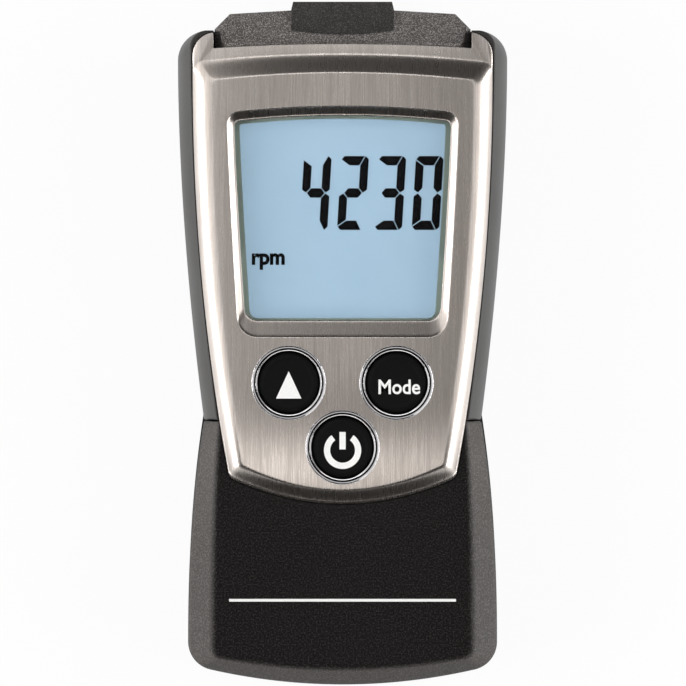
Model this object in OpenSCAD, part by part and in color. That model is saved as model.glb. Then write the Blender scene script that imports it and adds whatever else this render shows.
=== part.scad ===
// Pocket tachometer: an optical hand instrument that reads turning speed.
// It lies on its back. X runs across the keys, Y towards the sensor nose, and Z out of the display.
// The origin is at the middle of the length and width, on the surface that the back lies on.

/* [Body] */
// Overall length, from the bottom edge to the tip of the sensor nose
body_l = 95.2; // [94.6:0.2:98]
// Width across the wings at the sensor end
body_w = 46; // [45.6:0.2:48]
// Thickness, from the back to the top of the key rings
body_t = 25; // [24.8:0.1:26]
// Width at the waist, where the wings meet the grip
waist_w = 38.8; // [38.4:0.2:39.6]
// Greatest width of the lower grip
grip_w = 43.1; // [42.5:0.2:45]
// Height of the waist above the bottom edge
waist_up = 37.4; // [37:0.2:38]
// Height of the rear shell at the grip, up to the parting line
rear_h = 13; // [12.8:0.1:13.2]
// Wall of the plastic shells
wall = 1.6; // [1.4:0.1:1.8]

/* [Face plate] */
// Width of the metal plate at its top
plate_w = 41.8; // [41.4:0.2:42]
// Width of the metal plate at its bottom corners
plate_foot_w = 31.9; // [31.5:0.2:32.3]
// Height of the plate's bottom edge above the bottom edge of the body
plate_up = 25.2; // [24.8:0.2:25.6]
// Sheet thickness of the plate
plate_t = 0.6; // [0.5:0.05:0.7]
// Height of the bevel between the plate's rim and its raised face
bevel_h = 1.5; // [1.3:0.1:1.6]
// Width of the bevel along the sides
bevel_w = 2.7; // [2.4:0.1:2.9]

/* [Display] */
// Width of the visible glass at its top
glass_w = 30.2; // [29.6:0.2:30.6]
// Width of the visible glass at its bottom
glass_foot_w = 27.4; // [26.8:0.2:27.8]
// Height of the visible glass
glass_h = 28.5; // [28:0.1:28.7]
// Thickness of the clear window
glass_t = 1; // [0.8:0.1:1.1]
// Height of one digit
digit_h = 10.3; // [9:0.1:11]
// Step from one digit to the next
digit_step = 5.2; // [4.9:0.05:5.4]
// Width of one display segment
stroke = 1.15; // [0.9:0.05:1.2]
// Number shown on the display
reading = [4, 2, 3, 0];

/* [Keys] */
// Radius of a key cap
key_r = 4.3; // [4:0.05:4.35]
// Outer radius of the ring around a key
ring_r = 5.2; // [5.1:0.05:5.4]
// Distance of the two upper keys from the centre line
key_x = 7.5; // [7.2:0.1:7.8]
// Height of the upper keys above the bottom edge
key_up = 42.1; // [41.8:0.1:42.3]
// Height of the power key above the bottom edge
power_up = 33.1; // [32.8:0.1:33.3]
// Travel of a key
key_travel = 0.8; // [0.5:0.1:0.9]

/* [Sensor head] */
// Width of the shoulders that carry the protective cap
shoulder_w = 35.7; // [35.2:0.1:35.8]
// Width of the nose at its root
nose_w = 14.6; // [14.2:0.2:15.4]
// Radius of each lens
lens_r = 2.3; // [2:0.1:2.4]
// Distance of each lens from the centre line
lens_x = 2.9; // [2.7:0.1:3]

/* [Battery bay] */
// Radius of a cell
cell_r = 5.25; // [5.1:0.05:5.3]
// Length of a cell with its nipple
cell_l = 44.5; // [44:0.1:45]
// Width of the battery cover
cover_w = 26; // [25.6:0.2:26.4]
// Height of the cover's upper end above the bottom edge
cover_up = 55.5; // [55:0.1:56]
// Thickness of the cover
cover_t = 1.8; // [1.7:0.05:1.9]

/* [Hidden] */

// Fits and overruns
fit_gap = 0.15;                             // room between pieces that are fitted by hand
touch_gap = 0.05;                           // room between faces that are glued or clamped
key_gap = 0.2;                              // room around a moving key
over = 1;                                   // how far a cut runs past a face
tiny_r = 0.4;                               // smallest corner radius of an outline
round_fn = 48;

// Places along the length, from the bottom edge
y0 = -body_l / 2;
nose_tip = y0 + body_l;
body_top_drop = 4;                          // the shell ends this far below the nose tip
body_top = nose_tip - body_top_drop;
waist_y = y0 + waist_up;
seam_drop = 0.5;
seam_y = waist_y - seam_drop;               // where wings and grip meet

// Heights through the thickness
face_drop = 2.2;
face_z = body_t - face_drop;                // black face of the grip
ring_proud = 0.3;
plate_z = body_t - ring_proud;              // raised face of the plate
rim_z = plate_z - bevel_h;                  // rim of the plate
seat_z = rim_z - plate_t - touch_gap;       // where the plate is seated
recess_d = 1.4;
lip_z = plate_z - recess_d;                 // inner lip of the display recess
glass_z = lip_z - plate_t - touch_gap;      // top of the clear window
tape_t = 0.15;
ledge_z = glass_z - glass_t - tape_t;
ledge_t = 0.8;
deck_z = ledge_z - ledge_t;                 // underside of the front shell's deck
lcd_drop = 0.15;
lcd_z = deck_z - lcd_drop;                  // top of the display cell
lcd_t = 1.9;
board_drop = 1.8;
board_z = lcd_z - lcd_t - board_drop;       // top of the circuit board
board_t = 1.2;

// An outline is symmetric about the Y axis and is written as a list: half widths at its top and its
// bottom, places of its top and bottom edges, corner radii at top and bottom, sags of the top and
// bottom edges, and the power of its side curve
function top_half(s) = s[0];
function foot_half(s) = s[1];
function top_of(s) = s[2];
function foot_of(s) = s[3];
function top_corner(s) = s[4];
function foot_corner(s) = s[5];
function top_sag(s) = s[6];
function foot_sag(s) = s[7];
function side_power(s) = s[8];

function grow(s, side, top, foot) =
    [top_half(s) + side, foot_half(s) + side, top_of(s) + top, foot_of(s) - foot,
     max(top_corner(s) + side, tiny_r), max(foot_corner(s) + side, tiny_r),
     top_sag(s), foot_sag(s), side_power(s)];

function side_share(p, t) = p > 0 ? pow(t, p) : 1 - pow(1 - t, -p);

// Points of an outline, anticlockwise from the middle of its bottom edge
function ring_of(s, edge_n = 5, corner_n = 6, side_n = 8) =
    let (
        wide = top_half(s),
        narrow = foot_half(s),
        r_top = top_corner(s),
        r_foot = foot_corner(s),
        p = side_power(s),
        top_tilt = atan(2 * top_sag(s) / (wide - r_top)),
        foot_tilt = atan(2 * foot_sag(s) / (narrow - r_foot)),
        side_top = top_of(s) - top_sag(s) - r_top * cos(top_tilt),
        lean = p > 0 ? atan(p * (wide - narrow) / (side_top - foot_of(s) - foot_sag(s))) : 0,
        side_foot = foot_of(s) + foot_sag(s) + r_foot * (cos(foot_tilt) - sin(lean)),
        foot_x = narrow - r_foot * cos(lean),
        foot_cy = side_foot + r_foot * sin(lean),
        foot_end = foot_x + r_foot * sin(foot_tilt),
        top_end = wide - r_top + r_top * sin(top_tilt),
        foot_edge = [for (i = [0 : foot_sag(s) > 0 ? edge_n - 1 : -1]) let (k = i / edge_n)
            [foot_end * k, foot_of(s) + foot_sag(s) * k * k]],
        foot_arc = [for (i = [0 : corner_n])
            let (a = foot_tilt - 90 + (90 - foot_tilt - lean) * i / corner_n)
                [foot_x + r_foot * cos(a), foot_cy + r_foot * sin(a)]],
        side = [for (i = [1 : side_n - 1]) let (t = 1 - i / side_n)
            [wide + (narrow - wide) * side_share(p, t), side_top + (side_foot - side_top) * t]],
        top_arc = [for (i = [0 : corner_n]) let (a = (90 - top_tilt) * i / corner_n)
            [wide - r_top + r_top * cos(a), side_top + r_top * sin(a)]],
        top_edge = [for (i = [1 : top_sag(s) > 0 ? edge_n : 0]) let (k = 1 - i / edge_n)
            [top_end * k, top_of(s) - top_sag(s) * k * k]],
        right = concat(foot_edge, foot_arc, side, top_arc, top_edge)
    )
    concat(right, [for (i = [len(right) - 1 : -1 : 0]) if (right[i][0] > 0) [-right[i][0], right[i][1]]]);

// Points of an outline whose upper end is carried on to a square end with round corners
function with_ears(s, top, r, corner_n = 6) =
    let (
        low = [for (p = ring_of(s)) if (p[0] > 0 && p[1] < top_of(s) - top_sag(s) - top_corner(s)) p],
        arc = [for (i = [0 : corner_n]) let (a = 90 * i / corner_n)
            [top_half(s) - r + r * cos(a), top - r + r * sin(a)]],
        right = concat(low, arc)
    )
    concat([[0, foot_of(s)]], right, [for (i = [len(right) - 1 : -1 : 0]) [-right[i][0], right[i][1]]]);

// Outlines of the wings, the grip, the grip's face and the metal plate
wing_r = 4.1;
wing_power_share = 1.8;
wing_lean = 1.65;                           // the wings lean in by this much towards the face
upper = [body_w / 2, waist_w / 2, body_top, seam_y, wing_r, tiny_r, 0, 0, wing_power_share];

grip_r = 4;
grip_sag = 2.1;
grip_power_share = -2.3;
seam_gap = 0.15;
lower = [waist_w / 2, grip_w / 2, seam_y - seam_gap, y0, tiny_r, grip_r, 0, grip_sag, grip_power_share];

facet_top_w = 2.1;                          // width of the grip's side facets at the waist
facet_foot_w = 3.5;                         // and at their lower end
facet_end_w = 2.2;                          // width of the bevel along the bottom edge
facet_h = 3.6;
face_sag = 1.5;
face_r = 1.4;
face = [waist_w / 2 - facet_top_w, grip_w / 2 - facet_foot_w, seam_y - seam_gap, y0 + facet_end_w,
        tiny_r, face_r, 0, face_sag, grip_power_share];

plate_top_drop = 3;
plate_r = 1.6;
plate_top_sag = 1;
plate_foot_sag = 3.3;
plate_power_share = 2.05;
plate = [plate_w / 2, plate_foot_w / 2, body_top - plate_top_drop, y0 + plate_up, plate_r, plate_r,
         plate_top_sag, plate_foot_sag, plate_power_share];

rim_edge = 0.3;                             // the shell's end shows this much beyond the plate
rim_r = 3.2;

bevel_top_w = 2.9;
bevel_foot_w = 1.9;
crown_foot_extra = 0.7;
crown_r = 0.8;
crown = [plate_w / 2 - bevel_w, plate_foot_w / 2 - bevel_w + crown_foot_extra, top_of(plate) - bevel_top_w,
         foot_of(plate) + bevel_foot_w, crown_r, crown_r, plate_top_sag, plate_foot_sag, plate_power_share];

// Outlines of the display: visible glass, recess in the plate, and opening over the display cell
glass_up = 50.8;
glass_top_r = 0.9;
glass_foot_r = 1.9;
glass_sag = 0.75;
glass_power_share = 1.2;
glass = [glass_w / 2, glass_foot_w / 2, y0 + glass_up + glass_h, y0 + glass_up, glass_top_r,
         glass_foot_r, glass_sag, 0, glass_power_share];

recess_side = 1;
recess_top = 1.35;
recess_foot = 2.3;
recess = grow(glass, recess_side, recess_top, recess_foot);

view_side = 0.75;
view_top = 0.4;
view_foot = 0.3;
view = grow(glass, -view_side, -view_top, -view_foot);

window_rim = 1;                             // how far the clear window reaches under the plate
window = grow(glass, window_rim, window_rim, window_rim);

// Keys
up_key = [-key_x, y0 + key_up];
mode_key = [key_x, y0 + key_up];
power_key = [0, y0 + power_up];
KEYS = [up_key, mode_key, power_key];

// Solid skin over outlines with the same number of points, each at its own height
module loft(rings, heights) {
    n = len(rings[0]);
    last = len(rings) - 1;
    points = [for (k = [0 : last]) for (p = rings[k]) [p[0], p[1], heights[k]]];
    sides = [for (k = [0 : last - 1]) for (i = [0 : n - 1])
        let (a = k * n + i, b = k * n + (i + 1) % n) each [[a, a + n, b + n], [a, b + n, b]]];
    caps = [[for (i = [0 : n - 1]) i], [for (i = [n - 1 : -1 : 0]) last * n + i]];
    polyhedron(points, concat(sides, caps));
}

module slab(s, low, high) {
    translate([0, 0, low]) linear_extrude(high - low) polygon(ring_of(s));
}

// The plate's whole outline with its two ears, between two heights
module rim_slab(gap, low, high) {
    translate([0, 0, low]) linear_extrude(high - low)
        polygon(with_ears(grow(plate, gap, 0, gap), body_top - rim_edge + gap, rim_r + gap));
}

module box_of(x_half, y_low, y_high, z_low, z_high) {
    translate([-x_half, y_low, z_low]) cube([2 * x_half, y_high - y_low, z_high - z_low]);
}

module post(place, r, low, high) {
    translate([place[0], place[1], low]) cylinder(h = high - low, r = r, $fn = round_fn);
}

module both_sides() {
    children();
    mirror([1, 0, 0]) children();
}

// A round bar or disc whose axis runs along Y
module bar_y(x, z, r, low, high) {
    translate([x, low, z]) rotate([-90, 0, 0]) cylinder(h = high - low, r = r, $fn = round_fn);
}

// Skin of the back, with rounded edges and upright sides. A skin with a lean is the wings' own, which
// lean in above the parting line. The end at the waist isn't rounded, because the two skins join there.
back_r = 2.2;
round_steps = 4;
back_angles = [for (i = [0 : round_steps - 1]) 90 * i / (round_steps - 1)];
lean_shares = [0.45, 0.75, 1];

module back_skin(s, shrink, top_z, lean) {
    top_end = lean > 0 ? 1 : 0;
    rounded = [for (a = back_angles) let (d = -shrink - back_r * (1 - sin(a)))
        ring_of(grow(s, d, d * top_end, d * (1 - top_end)))];
    straight = ring_of(grow(s, -shrink, -shrink * top_end, -shrink * (1 - top_end)));
    leaned = [for (k = lean_shares) ring_of(grow(s, -shrink - lean * k * k, -shrink, 0))];
    low_heights = [for (a = back_angles) shrink + back_r * (1 - cos(a))];
    lean_heights = [for (k = lean_shares) rear_h + (top_z - rear_h) * k];
    if (lean > 0) loft(concat(rounded, [straight], leaned), concat(low_heights, [rear_h], lean_heights));
    else loft(concat(rounded, [straight]), concat(low_heights, [top_z]));
}

// Battery bay
bay_gap = 0.35;                             // room around the cells
spring_l = 2.6;
contact_t = 0.4;
bay_up = 3.1;
bay_wall = 1;
bay_lip = 0.3;                              // the bay's roof stops this far past its lower end
bay_half = 2 * cell_r + bay_gap;
bay_low = y0 + bay_up;
bay_high = bay_low + cell_l + spring_l + 2 * contact_t;
cell_z = cover_t + bay_gap + cell_r;
bay_z = cell_z + cell_r + bay_gap;

// Rails of the battery cover
rail_w = 0.8;
rail_t = 0.8;
rail_z = 0.75;

// Screws that close the shells, from the centre line and the shells' ends
screw_head_r = 1.9;
screw_head_h = 1.5;
screw_r = 1;
screw_l = 12;
screw_sink = 3;
thread_gap = 0.03;
boss_r = 2.6;
boss_top = 8.4;
upper_screw_x = 15.6;
upper_screw_drop = 7.2;
lower_screw_x = 16.6;
lower_screw_up = 14;
SCREWS = [for (s = [-1, 1]) each [[s * upper_screw_x, body_top - upper_screw_drop],
                                  [s * lower_screw_x, y0 + lower_screw_up]]];

// Screws and posts of the circuit board
board_screw_x = 14.2;
board_screw_up = 32.6;
board_screw_r = 0.7;
board_screw_l = 4;
board_head_r = 1.3;
board_head_h = 0.8;
BOARD_SCREWS = [for (s = [-1, 1]) [s * board_screw_x, y0 + board_screw_up]];
rest_r = 1.4;
rest_x = 12;
rest_drop = 14;

// Bare panel sunk into the back
panel_w = 27;
panel_l = 20;
panel_d = 0.3;
panel_drop = 9;

shoulder_z = 3.6;                           // back of the sensor head's shoulders
waist_lap = 1.6;                            // how far the grip's tub reaches under the wings
mouth = 6;                                  // how far a cavity is opened past its outline
lower_tub = grow(lower, 0, waist_lap, 0);

module head_opening() {
    box_of(shoulder_w / 2 + fit_gap, body_top - wall - over, body_top + over, shoulder_z - fit_gap,
           body_t + over);
}

module cover_channel() {
    box_of(cover_w / 2 + fit_gap, y0 - over, y0 + cover_up + fit_gap, -over, cover_t + fit_gap);
    box_of(cover_w / 2 + rail_w + fit_gap, y0 - over, y0 + cover_up + fit_gap, rail_z - fit_gap,
           rail_z + rail_t + fit_gap);
}

module rear_walls() {
    difference() {
        union() {
            back_skin(upper, 0, face_z, wing_lean);
            back_skin(lower_tub, 0, rear_h, 0);
        }
        difference() {
            union() {
                back_skin(grow(upper, 0, 0, mouth), wall, face_z + over, wing_lean);
                intersection() {
                    back_skin(grow(lower, 0, mouth, 0), wall, rear_h + over, 0);
                    box_of(body_w, y0, seam_y + over, 0, body_t);
                }
            }
            box_of(cover_w / 2 + rail_w + bay_wall, y0, y0 + cover_up + bay_wall, 0, cover_t + bay_wall);
            for (s = SCREWS) post(s, boss_r, 0, boss_top);
            both_sides() post([rest_x, body_top - rest_drop], rest_r, 0, board_z - board_t - touch_gap);
        }
    }
}

module rear_housing() {
    color([0.16, 0.16, 0.16]) difference() {
        union() {
            rear_walls();
            box_of(bay_half + bay_wall, bay_low - bay_wall, bay_high + bay_wall, cover_t, rear_h);
            box_of(bay_half + bay_wall, bay_low - bay_lip, bay_high + bay_wall, cover_t, bay_z + bay_wall);
        }
        head_opening();
        rim_slab(fit_gap, seat_z, body_t);
        cover_channel();
        box_of(bay_half, bay_low, bay_high, cover_t / 2, bay_z);
        for (s = SCREWS) {
            post(s, screw_head_r + fit_gap, -over, screw_sink);
            post(s, screw_r + fit_gap, -over, boss_top + over);
        }
        box_of(panel_w / 2, body_top - panel_drop - panel_l, body_top - panel_drop, -over, panel_d);
    }
}

// Front shell: black face of the grip, and the deck that carries display and keys under the plate
deck_inset = 1.3;
deck_top_inset = 0.7;
deck = grow(plate, -deck_inset, -deck_top_inset, -deck_inset);
pad_inset = 0.1;
guide_r = key_r + key_gap;
flange_r = 5;
flange_t = 0.7;
flange_room = 0.95;                         // depth of the pocket for a key's flange
neck_step = 0.35;
neck_r = ring_r - neck_step;
neck_l = 1.4;
front_post_r = 2.3;
board_post_r = 1.5;

module grip_skin(shrink, low_z, top_z, lap) {
    wide = ring_of(grow(lower, -shrink, lap, -shrink));
    narrow = ring_of(grow(face, -shrink, lap, -shrink));
    loft([wide, wide, narrow], [low_z, face_z - facet_h, top_z]);
}

module front_housing() {
    post_top = deck_z + ledge_t / 2;
    color([0.12, 0.11, 0.11]) difference() {
        union() {
            difference() {
                grip_skin(0, rear_h, face_z, 0);
                grip_skin(wall, rear_h - over, face_z - wall, mouth);
                slab(grow(plate, fit_gap, 0, fit_gap), seat_z, body_t);
            }
            slab(deck, deck_z, seat_z - touch_gap);
            loft([ring_of(deck), ring_of(grow(crown, -pad_inset, -pad_inset, -pad_inset))],
                 [seat_z - plate_t, plate_z - plate_t - touch_gap]);
            for (s = SCREWS) post(s, front_post_r, boss_top + touch_gap, post_top);
            for (s = BOARD_SCREWS) post(s, board_post_r, board_z + touch_gap, post_top);
        }
        slab(view, deck_z - over, ledge_z + over);
        slab(grow(window, fit_gap, fit_gap, fit_gap), ledge_z, plate_z);
        slab(grow(recess, plate_t + fit_gap, plate_t + fit_gap, plate_t + fit_gap), glass_z, plate_z);
        for (k = KEYS) {
            post(k, guide_r, deck_z - over, plate_z);
            post(k, flange_r + key_gap, deck_z - over, deck_z + flange_room);
            post(k, neck_r + touch_gap, plate_z - neck_l - touch_gap, plate_z);
        }
        for (s = SCREWS) post(s, screw_r + thread_gap, 0, screw_sink + screw_l + touch_gap);
        for (s = BOARD_SCREWS)
            post(s, board_screw_r + thread_gap, 0, board_z - board_t + board_screw_l + touch_gap);
    }
}

// Metal plate: flat rim with two ears beside the nose, and a raised face with a display recess
notch_w = 36;
notch_sag = 0.6;
notch_d = 2.5;                              // depth of the notch at its ends, from the shell's top
bevel_shares = [[0, 0], [0.3, 0.12], [0.6, 0.45], [0.85, 0.85], [1, 1]];

module notch() {
    steps = 6;
    foot = body_top - notch_d;
    arc = [for (i = [-steps : steps]) let (k = i / steps)
        [k * notch_w / 2, foot + notch_sag * (1 - k * k)]];
    translate([0, 0, seat_z - over]) linear_extrude(body_t) polygon(
        concat(arc, [[notch_w / 2, body_top + over], [-notch_w / 2, body_top + over]]));
}

module pillow(shrink, drop, sink) {
    base = grow(plate, -shrink, -shrink, -shrink);
    rings = [for (k = bevel_shares) ring_of(base + (crown - base) * k[0])];
    heights = [for (k = bevel_shares) rim_z - drop + bevel_h * k[1]];
    loft(concat([rings[0]], rings), concat([rim_z - drop - sink], heights));
}

module funnel(extra, drop) {
    low = ring_of(grow(glass, extra, extra, extra));
    high = ring_of(grow(recess, extra, extra, extra));
    loft([low, low, high], [rim_z - plate_t - 2 * over, lip_z - drop, plate_z + touch_gap]);
}

module face_plate() {
    color([0.66, 0.63, 0.6]) difference() {
        union() {
            rim_slab(0, rim_z - plate_t, rim_z);
            pillow(touch_gap, 0, plate_t / 2);
        }
        difference() {
            pillow(plate_t, plate_t, over);
            funnel(plate_t, plate_t);
        }
        slab(grow(window, fit_gap, fit_gap, fit_gap), rim_z - plate_t - over, lip_z - plate_t);
        funnel(0, 0);
        notch();
        for (k = KEYS) post(k, neck_r + touch_gap, rim_z - plate_t - over, plate_z + over);
    }
}

// Battery cover: a plate with rails along both sides and a grooved thumb patch
groove_n = 5;
groove_l = 9;
groove_w = 0.8;
groove_d = 0.4;
groove_step = 1.6;
groove_drop = 4;

module cover_plan(half) {
    translate([-half, y0 - over]) square([2 * half, cover_up + over]);
}

module battery_cover() {
    long_tub = grow(lower, 0, cover_up, 0);
    color([0.14, 0.14, 0.14]) difference() {
        intersection() {
            back_skin(long_tub, 0, rear_h, 0);
            union() {
                linear_extrude(cover_t) cover_plan(cover_w / 2);
                translate([0, 0, rail_z]) linear_extrude(rail_t) cover_plan(cover_w / 2 + rail_w);
            }
        }
        for (i = [0 : groove_n - 1]) {
            groove_y = y0 + cover_up - groove_drop - groove_step * i;
            box_of(groove_l / 2, groove_y - groove_w, groove_y, -over, groove_d);
        }
    }
}

// Screws with a cross recess
cross_w = 0.5;
cross_d = 0.6;
cross_share = 0.6;                          // reach of the cross over the head's radius

module screw(place, head_r, head_h, shank_r, shank_l, seat) {
    translate([place[0], place[1], seat]) {
        difference() {
            translate([0, 0, -head_h]) cylinder(h = head_h, r = head_r, $fn = round_fn);
            for (turn = [0, 90]) rotate([0, 0, turn])
                translate([-head_r * cross_share, -cross_w / 2, -head_h - over])
                    cube([2 * head_r * cross_share, cross_w, cross_d + over]);
        }
        cylinder(h = shank_l, r = shank_r, $fn = round_fn);
    }
}

module housing_screws() {
    color([0.6, 0.6, 0.62]) for (s = SCREWS)
        screw(s, screw_head_r, screw_head_h, screw_r, screw_l, screw_sink);
}

module board_screws() {
    color([0.6, 0.6, 0.62]) for (s = BOARD_SCREWS)
        screw(s, board_head_r, board_head_h, board_screw_r, board_screw_l, board_z - board_t);
}

// Clear window and the printed tape frame that holds it
module display_window() {
    color([0.8, 0.85, 0.88]) slab(window, glass_z - glass_t, glass_z);
}

module window_tape() {
    color([0.5, 0.55, 0.53]) difference() {
        slab(window, ledge_z, ledge_z + tape_t);
        slab(view, ledge_z - over, ledge_z + tape_t + over);
    }
}

// Display cell with its segments, frame, light guide, lamps and contact strip
lcd_side = 0.9;                             // how far the cell reaches past the opening
lcd_foot = 1.6;
lcd_top = 1.2;
lcd_x = top_half(view) + lcd_side;
lcd_low = foot_of(view) - lcd_foot;
lcd_high = top_of(view) + lcd_top;
frame_w = 1.1;
frame_drop = 0.2;
zebra_l = 1.5;
lamp_l = 1.2;
lamp_w = 1.6;
lamp_h = 1;
lamp_x = 9;
row_gap = 0.3;
ink_t = 0.06;
ink_gap = 0.06;                             // hairline between two segments
digit_w = 3.85;
digit_slant_share = 0.06;
digit_bar_share = 1.13;                     // level strokes are a little heavier than upright ones
digit_corner_share = 0.4;                   // outer corners of a digit are cut off by this much stroke
digit_x = -5.98;                            // left foot of the first digit
digit_up = 63.4;

SEGMENT_SETS = ["abcdef", "bc", "abged", "abgcd", "fgbc", "afgcd", "afgedc", "abc", "abcdefg", "abcdfg"];

function segment(name, w, h, t, u, c, g) =
    let (mid = h / 2)
    name == "a" ? [[g, h - c], [c, h], [w - c - 2 * g, h], [w - t - 2 * g, h - u], [t + g, h - u]] :
    name == "b" ? [[w - c, h], [w, h - c], [w, mid + c], [w - t / 2, mid + g],
                   [w - t, mid + u / 2 + g], [w - t, h - u]] :
    name == "c" ? [[w - t, mid - u / 2 - g], [w - t / 2, mid - g], [w, mid - c], [w, c],
                   [w - c, 0], [w - t, u]] :
    name == "d" ? [[c, 0], [w - c - 2 * g, 0], [w - t - 2 * g, u], [t + g, u], [g, c]] :
    name == "e" ? [[0, c + 2 * g], [t, u + 2 * g], [t, mid - u / 2 - g], [t / 2, mid - g], [0, mid - c]] :
    name == "f" ? [[0, mid + c], [t / 2, mid + g], [t, mid + u / 2 + g], [t, h - u - 2 * g],
                   [0, h - c - 2 * g]] :
    [[t / 2 + 2 * g, mid], [t + g, mid - u / 2], [w - t - g, mid - u / 2], [w - t / 2 - 2 * g, mid],
     [w - t - g, mid + u / 2], [t + g, mid + u / 2]];

module lcd_panel() {
    color([0.64, 0.75, 0.85]) box_of(lcd_x, lcd_low, lcd_high, lcd_z - lcd_t, lcd_z);
}

module lcd_segments() {
    color([0.05, 0.05, 0.07]) for (i = [0 : len(reading) - 1]) for (name = SEGMENT_SETS[reading[i]])
        translate([digit_x + digit_step * i, y0 + digit_up, lcd_z]) linear_extrude(ink_t) polygon(
            [for (p = segment(name, digit_w, digit_h, stroke, stroke * digit_bar_share,
                              stroke * digit_corner_share, ink_gap))
                [p[0] + digit_slant_share * p[1], p[1]]]);
}

module lcd_frame() {
    color([0.85, 0.85, 0.82]) difference() {
        box_of(lcd_x + fit_gap + frame_w, lcd_low - fit_gap - frame_w, lcd_high + fit_gap + frame_w,
               board_z + touch_gap, lcd_z - frame_drop);
        box_of(lcd_x + fit_gap, lcd_low - fit_gap, lcd_high + fit_gap, board_z - over, lcd_z + over);
    }
}

module zebra_strip() {
    color([0.3, 0.3, 0.32]) box_of(foot_half(view), lcd_low + row_gap, lcd_low + row_gap + zebra_l,
                                   board_z + touch_gap, lcd_z - lcd_t - touch_gap);
}

module backlight_leds() {
    lamp_y = lcd_low + 2 * row_gap + zebra_l;
    color([0.95, 0.95, 0.9]) for (x = [-lamp_x, 0, lamp_x])
        translate([x - lamp_w / 2, lamp_y, board_z + touch_gap]) cube([lamp_w, lamp_l, lamp_h]);
}

module backlight_guide() {
    color([0.88, 0.92, 0.96]) box_of(lcd_x - row_gap, lcd_low + 3 * row_gap + zebra_l + lamp_l,
                                     lcd_high - row_gap, board_z + touch_gap, lcd_z - lcd_t - touch_gap);
}

// Circuit board and what is on it
board_half = 16.2;
board_low_up = 28.2;
board_top_drop = 9.9;
board_low = y0 + board_low_up;
board_high = body_top - board_top_drop;
board_hole_gap = 0.1;
chip = 9;
chip_t = 1.2;
chip_drop = 22;
crystal_r = 1;
crystal_l = 6;
crystal_drop = 13;
crystal_x = 8;
cap_l = 2;
cap_w = 1.2;
cap_h = 0.9;
cap_step = 3.2;
cap_n = 5;
cap_drop = 29;
pad_t = 0.1;
pad_r = 1.9;
pad_gap = 0.3;
mat_t = 0.7;
mat_half = 11.9;
mat_low_up = 28.4;
mat_high_up = 47.4;
mat_hole_r = 3.1;

module main_board() {
    color([0.1, 0.35, 0.2]) difference() {
        box_of(board_half, board_low, board_high, board_z - board_t, board_z);
        for (s = BOARD_SCREWS)
            post(s, board_screw_r + board_hole_gap, board_z - board_t - over, board_z + over);
    }
}

module microcontroller() {
    color([0.12, 0.12, 0.12])
        box_of(chip / 2, body_top - chip_drop - chip, body_top - chip_drop, board_z - board_t - chip_t,
               board_z - board_t);
}

module quartz_crystal() {
    color([0.75, 0.75, 0.76])
        bar_y(crystal_x, board_z - board_t - crystal_r, crystal_r, body_top - crystal_drop - crystal_l,
              body_top - crystal_drop);
}

module board_capacitors() {
    color([0.7, 0.55, 0.4]) for (i = [0 : cap_n - 1])
        translate([cap_step * (i - (cap_n - 1) / 2) - cap_w / 2, body_top - cap_drop - chip - cap_l,
                   board_z - board_t - cap_h]) cube([cap_w, cap_l, cap_h]);
}

module key_pads() {
    color([0.8, 0.65, 0.3]) for (k = KEYS) difference() {
        post(k, pad_r, board_z, board_z + pad_t);
        translate([k[0] - pad_gap / 2, k[1] - pad_r - over, board_z - over])
            cube([pad_gap, 2 * (pad_r + over), pad_t + 2 * over]);
    }
}

module keypad_mat() {
    color([0.75, 0.75, 0.72]) difference() {
        box_of(mat_half, y0 + mat_low_up, y0 + mat_high_up, board_z + touch_gap, board_z + touch_gap + mat_t);
        for (k = KEYS) post(k, mat_hole_r, board_z - over, board_z + mat_t + over);
    }
}

// Chromed ring: a flange on the plate and a neck through it
ring_round = 0.1;
ring_lip = 0.25;                            // flat width of the ring's top
ring_slope = 0.4;                           // how far its inner wall slopes in

module key_ring(place) {
    inner_r = guide_r + touch_gap;
    top_r = ring_r - ring_lip;
    color([0.85, 0.85, 0.86]) translate([place[0], place[1], 0]) rotate_extrude($fn = round_fn) polygon([
        [inner_r, plate_z - neck_l],
        [neck_r, plate_z - neck_l],
        [neck_r, plate_z],
        [ring_r, plate_z],
        [ring_r, body_t - ring_round],
        [ring_r - ring_round, body_t],
        [top_r, body_t],
        [inner_r, body_t - ring_proud - ring_slope],
    ]);
}

// Key cap with the flange that keeps it in the shell
cap_drop_below_ring = 0.8;
cap_round = 0.43;
cap_z = body_t - cap_drop_below_ring;
flange_z = deck_z + flange_room - key_gap / 2 - flange_t;
legend_d = 0.25;
legend_proud = 0.03;
legend_gap = 0.03;
arrow_w = 3.55;
arrow_top = 1.6;
arrow_foot = 2.2;
power_r = 2.6;
power_stroke = 0.87;
power_shift = 0.4;
power_gap_angle = 36;
power_bar_top = 2.15;
power_bar_foot = 0.28;

module arrow(gap) {
    translate(up_key) polygon([[-arrow_w / 2 - gap, -arrow_foot - gap], [arrow_w / 2 + gap, -arrow_foot - gap],
                               [0, arrow_top + 2 * gap]]);
}

module power_mark(gap) {
    far = 2 * power_r;
    translate([power_key[0], power_key[1] - power_shift]) difference() {
        circle(r = power_r + gap, $fn = round_fn);
        circle(r = power_r - power_stroke - gap, $fn = round_fn);
        polygon([[0, 0], [far * sin(power_gap_angle), far * cos(power_gap_angle)],
                 [-far * sin(power_gap_angle), far * cos(power_gap_angle)]]);
    }
    translate([power_key[0] - power_stroke / 2 - gap, power_key[1] - power_bar_foot - gap])
        square([power_stroke + 2 * gap, power_bar_top + power_bar_foot + 2 * gap]);
}

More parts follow.
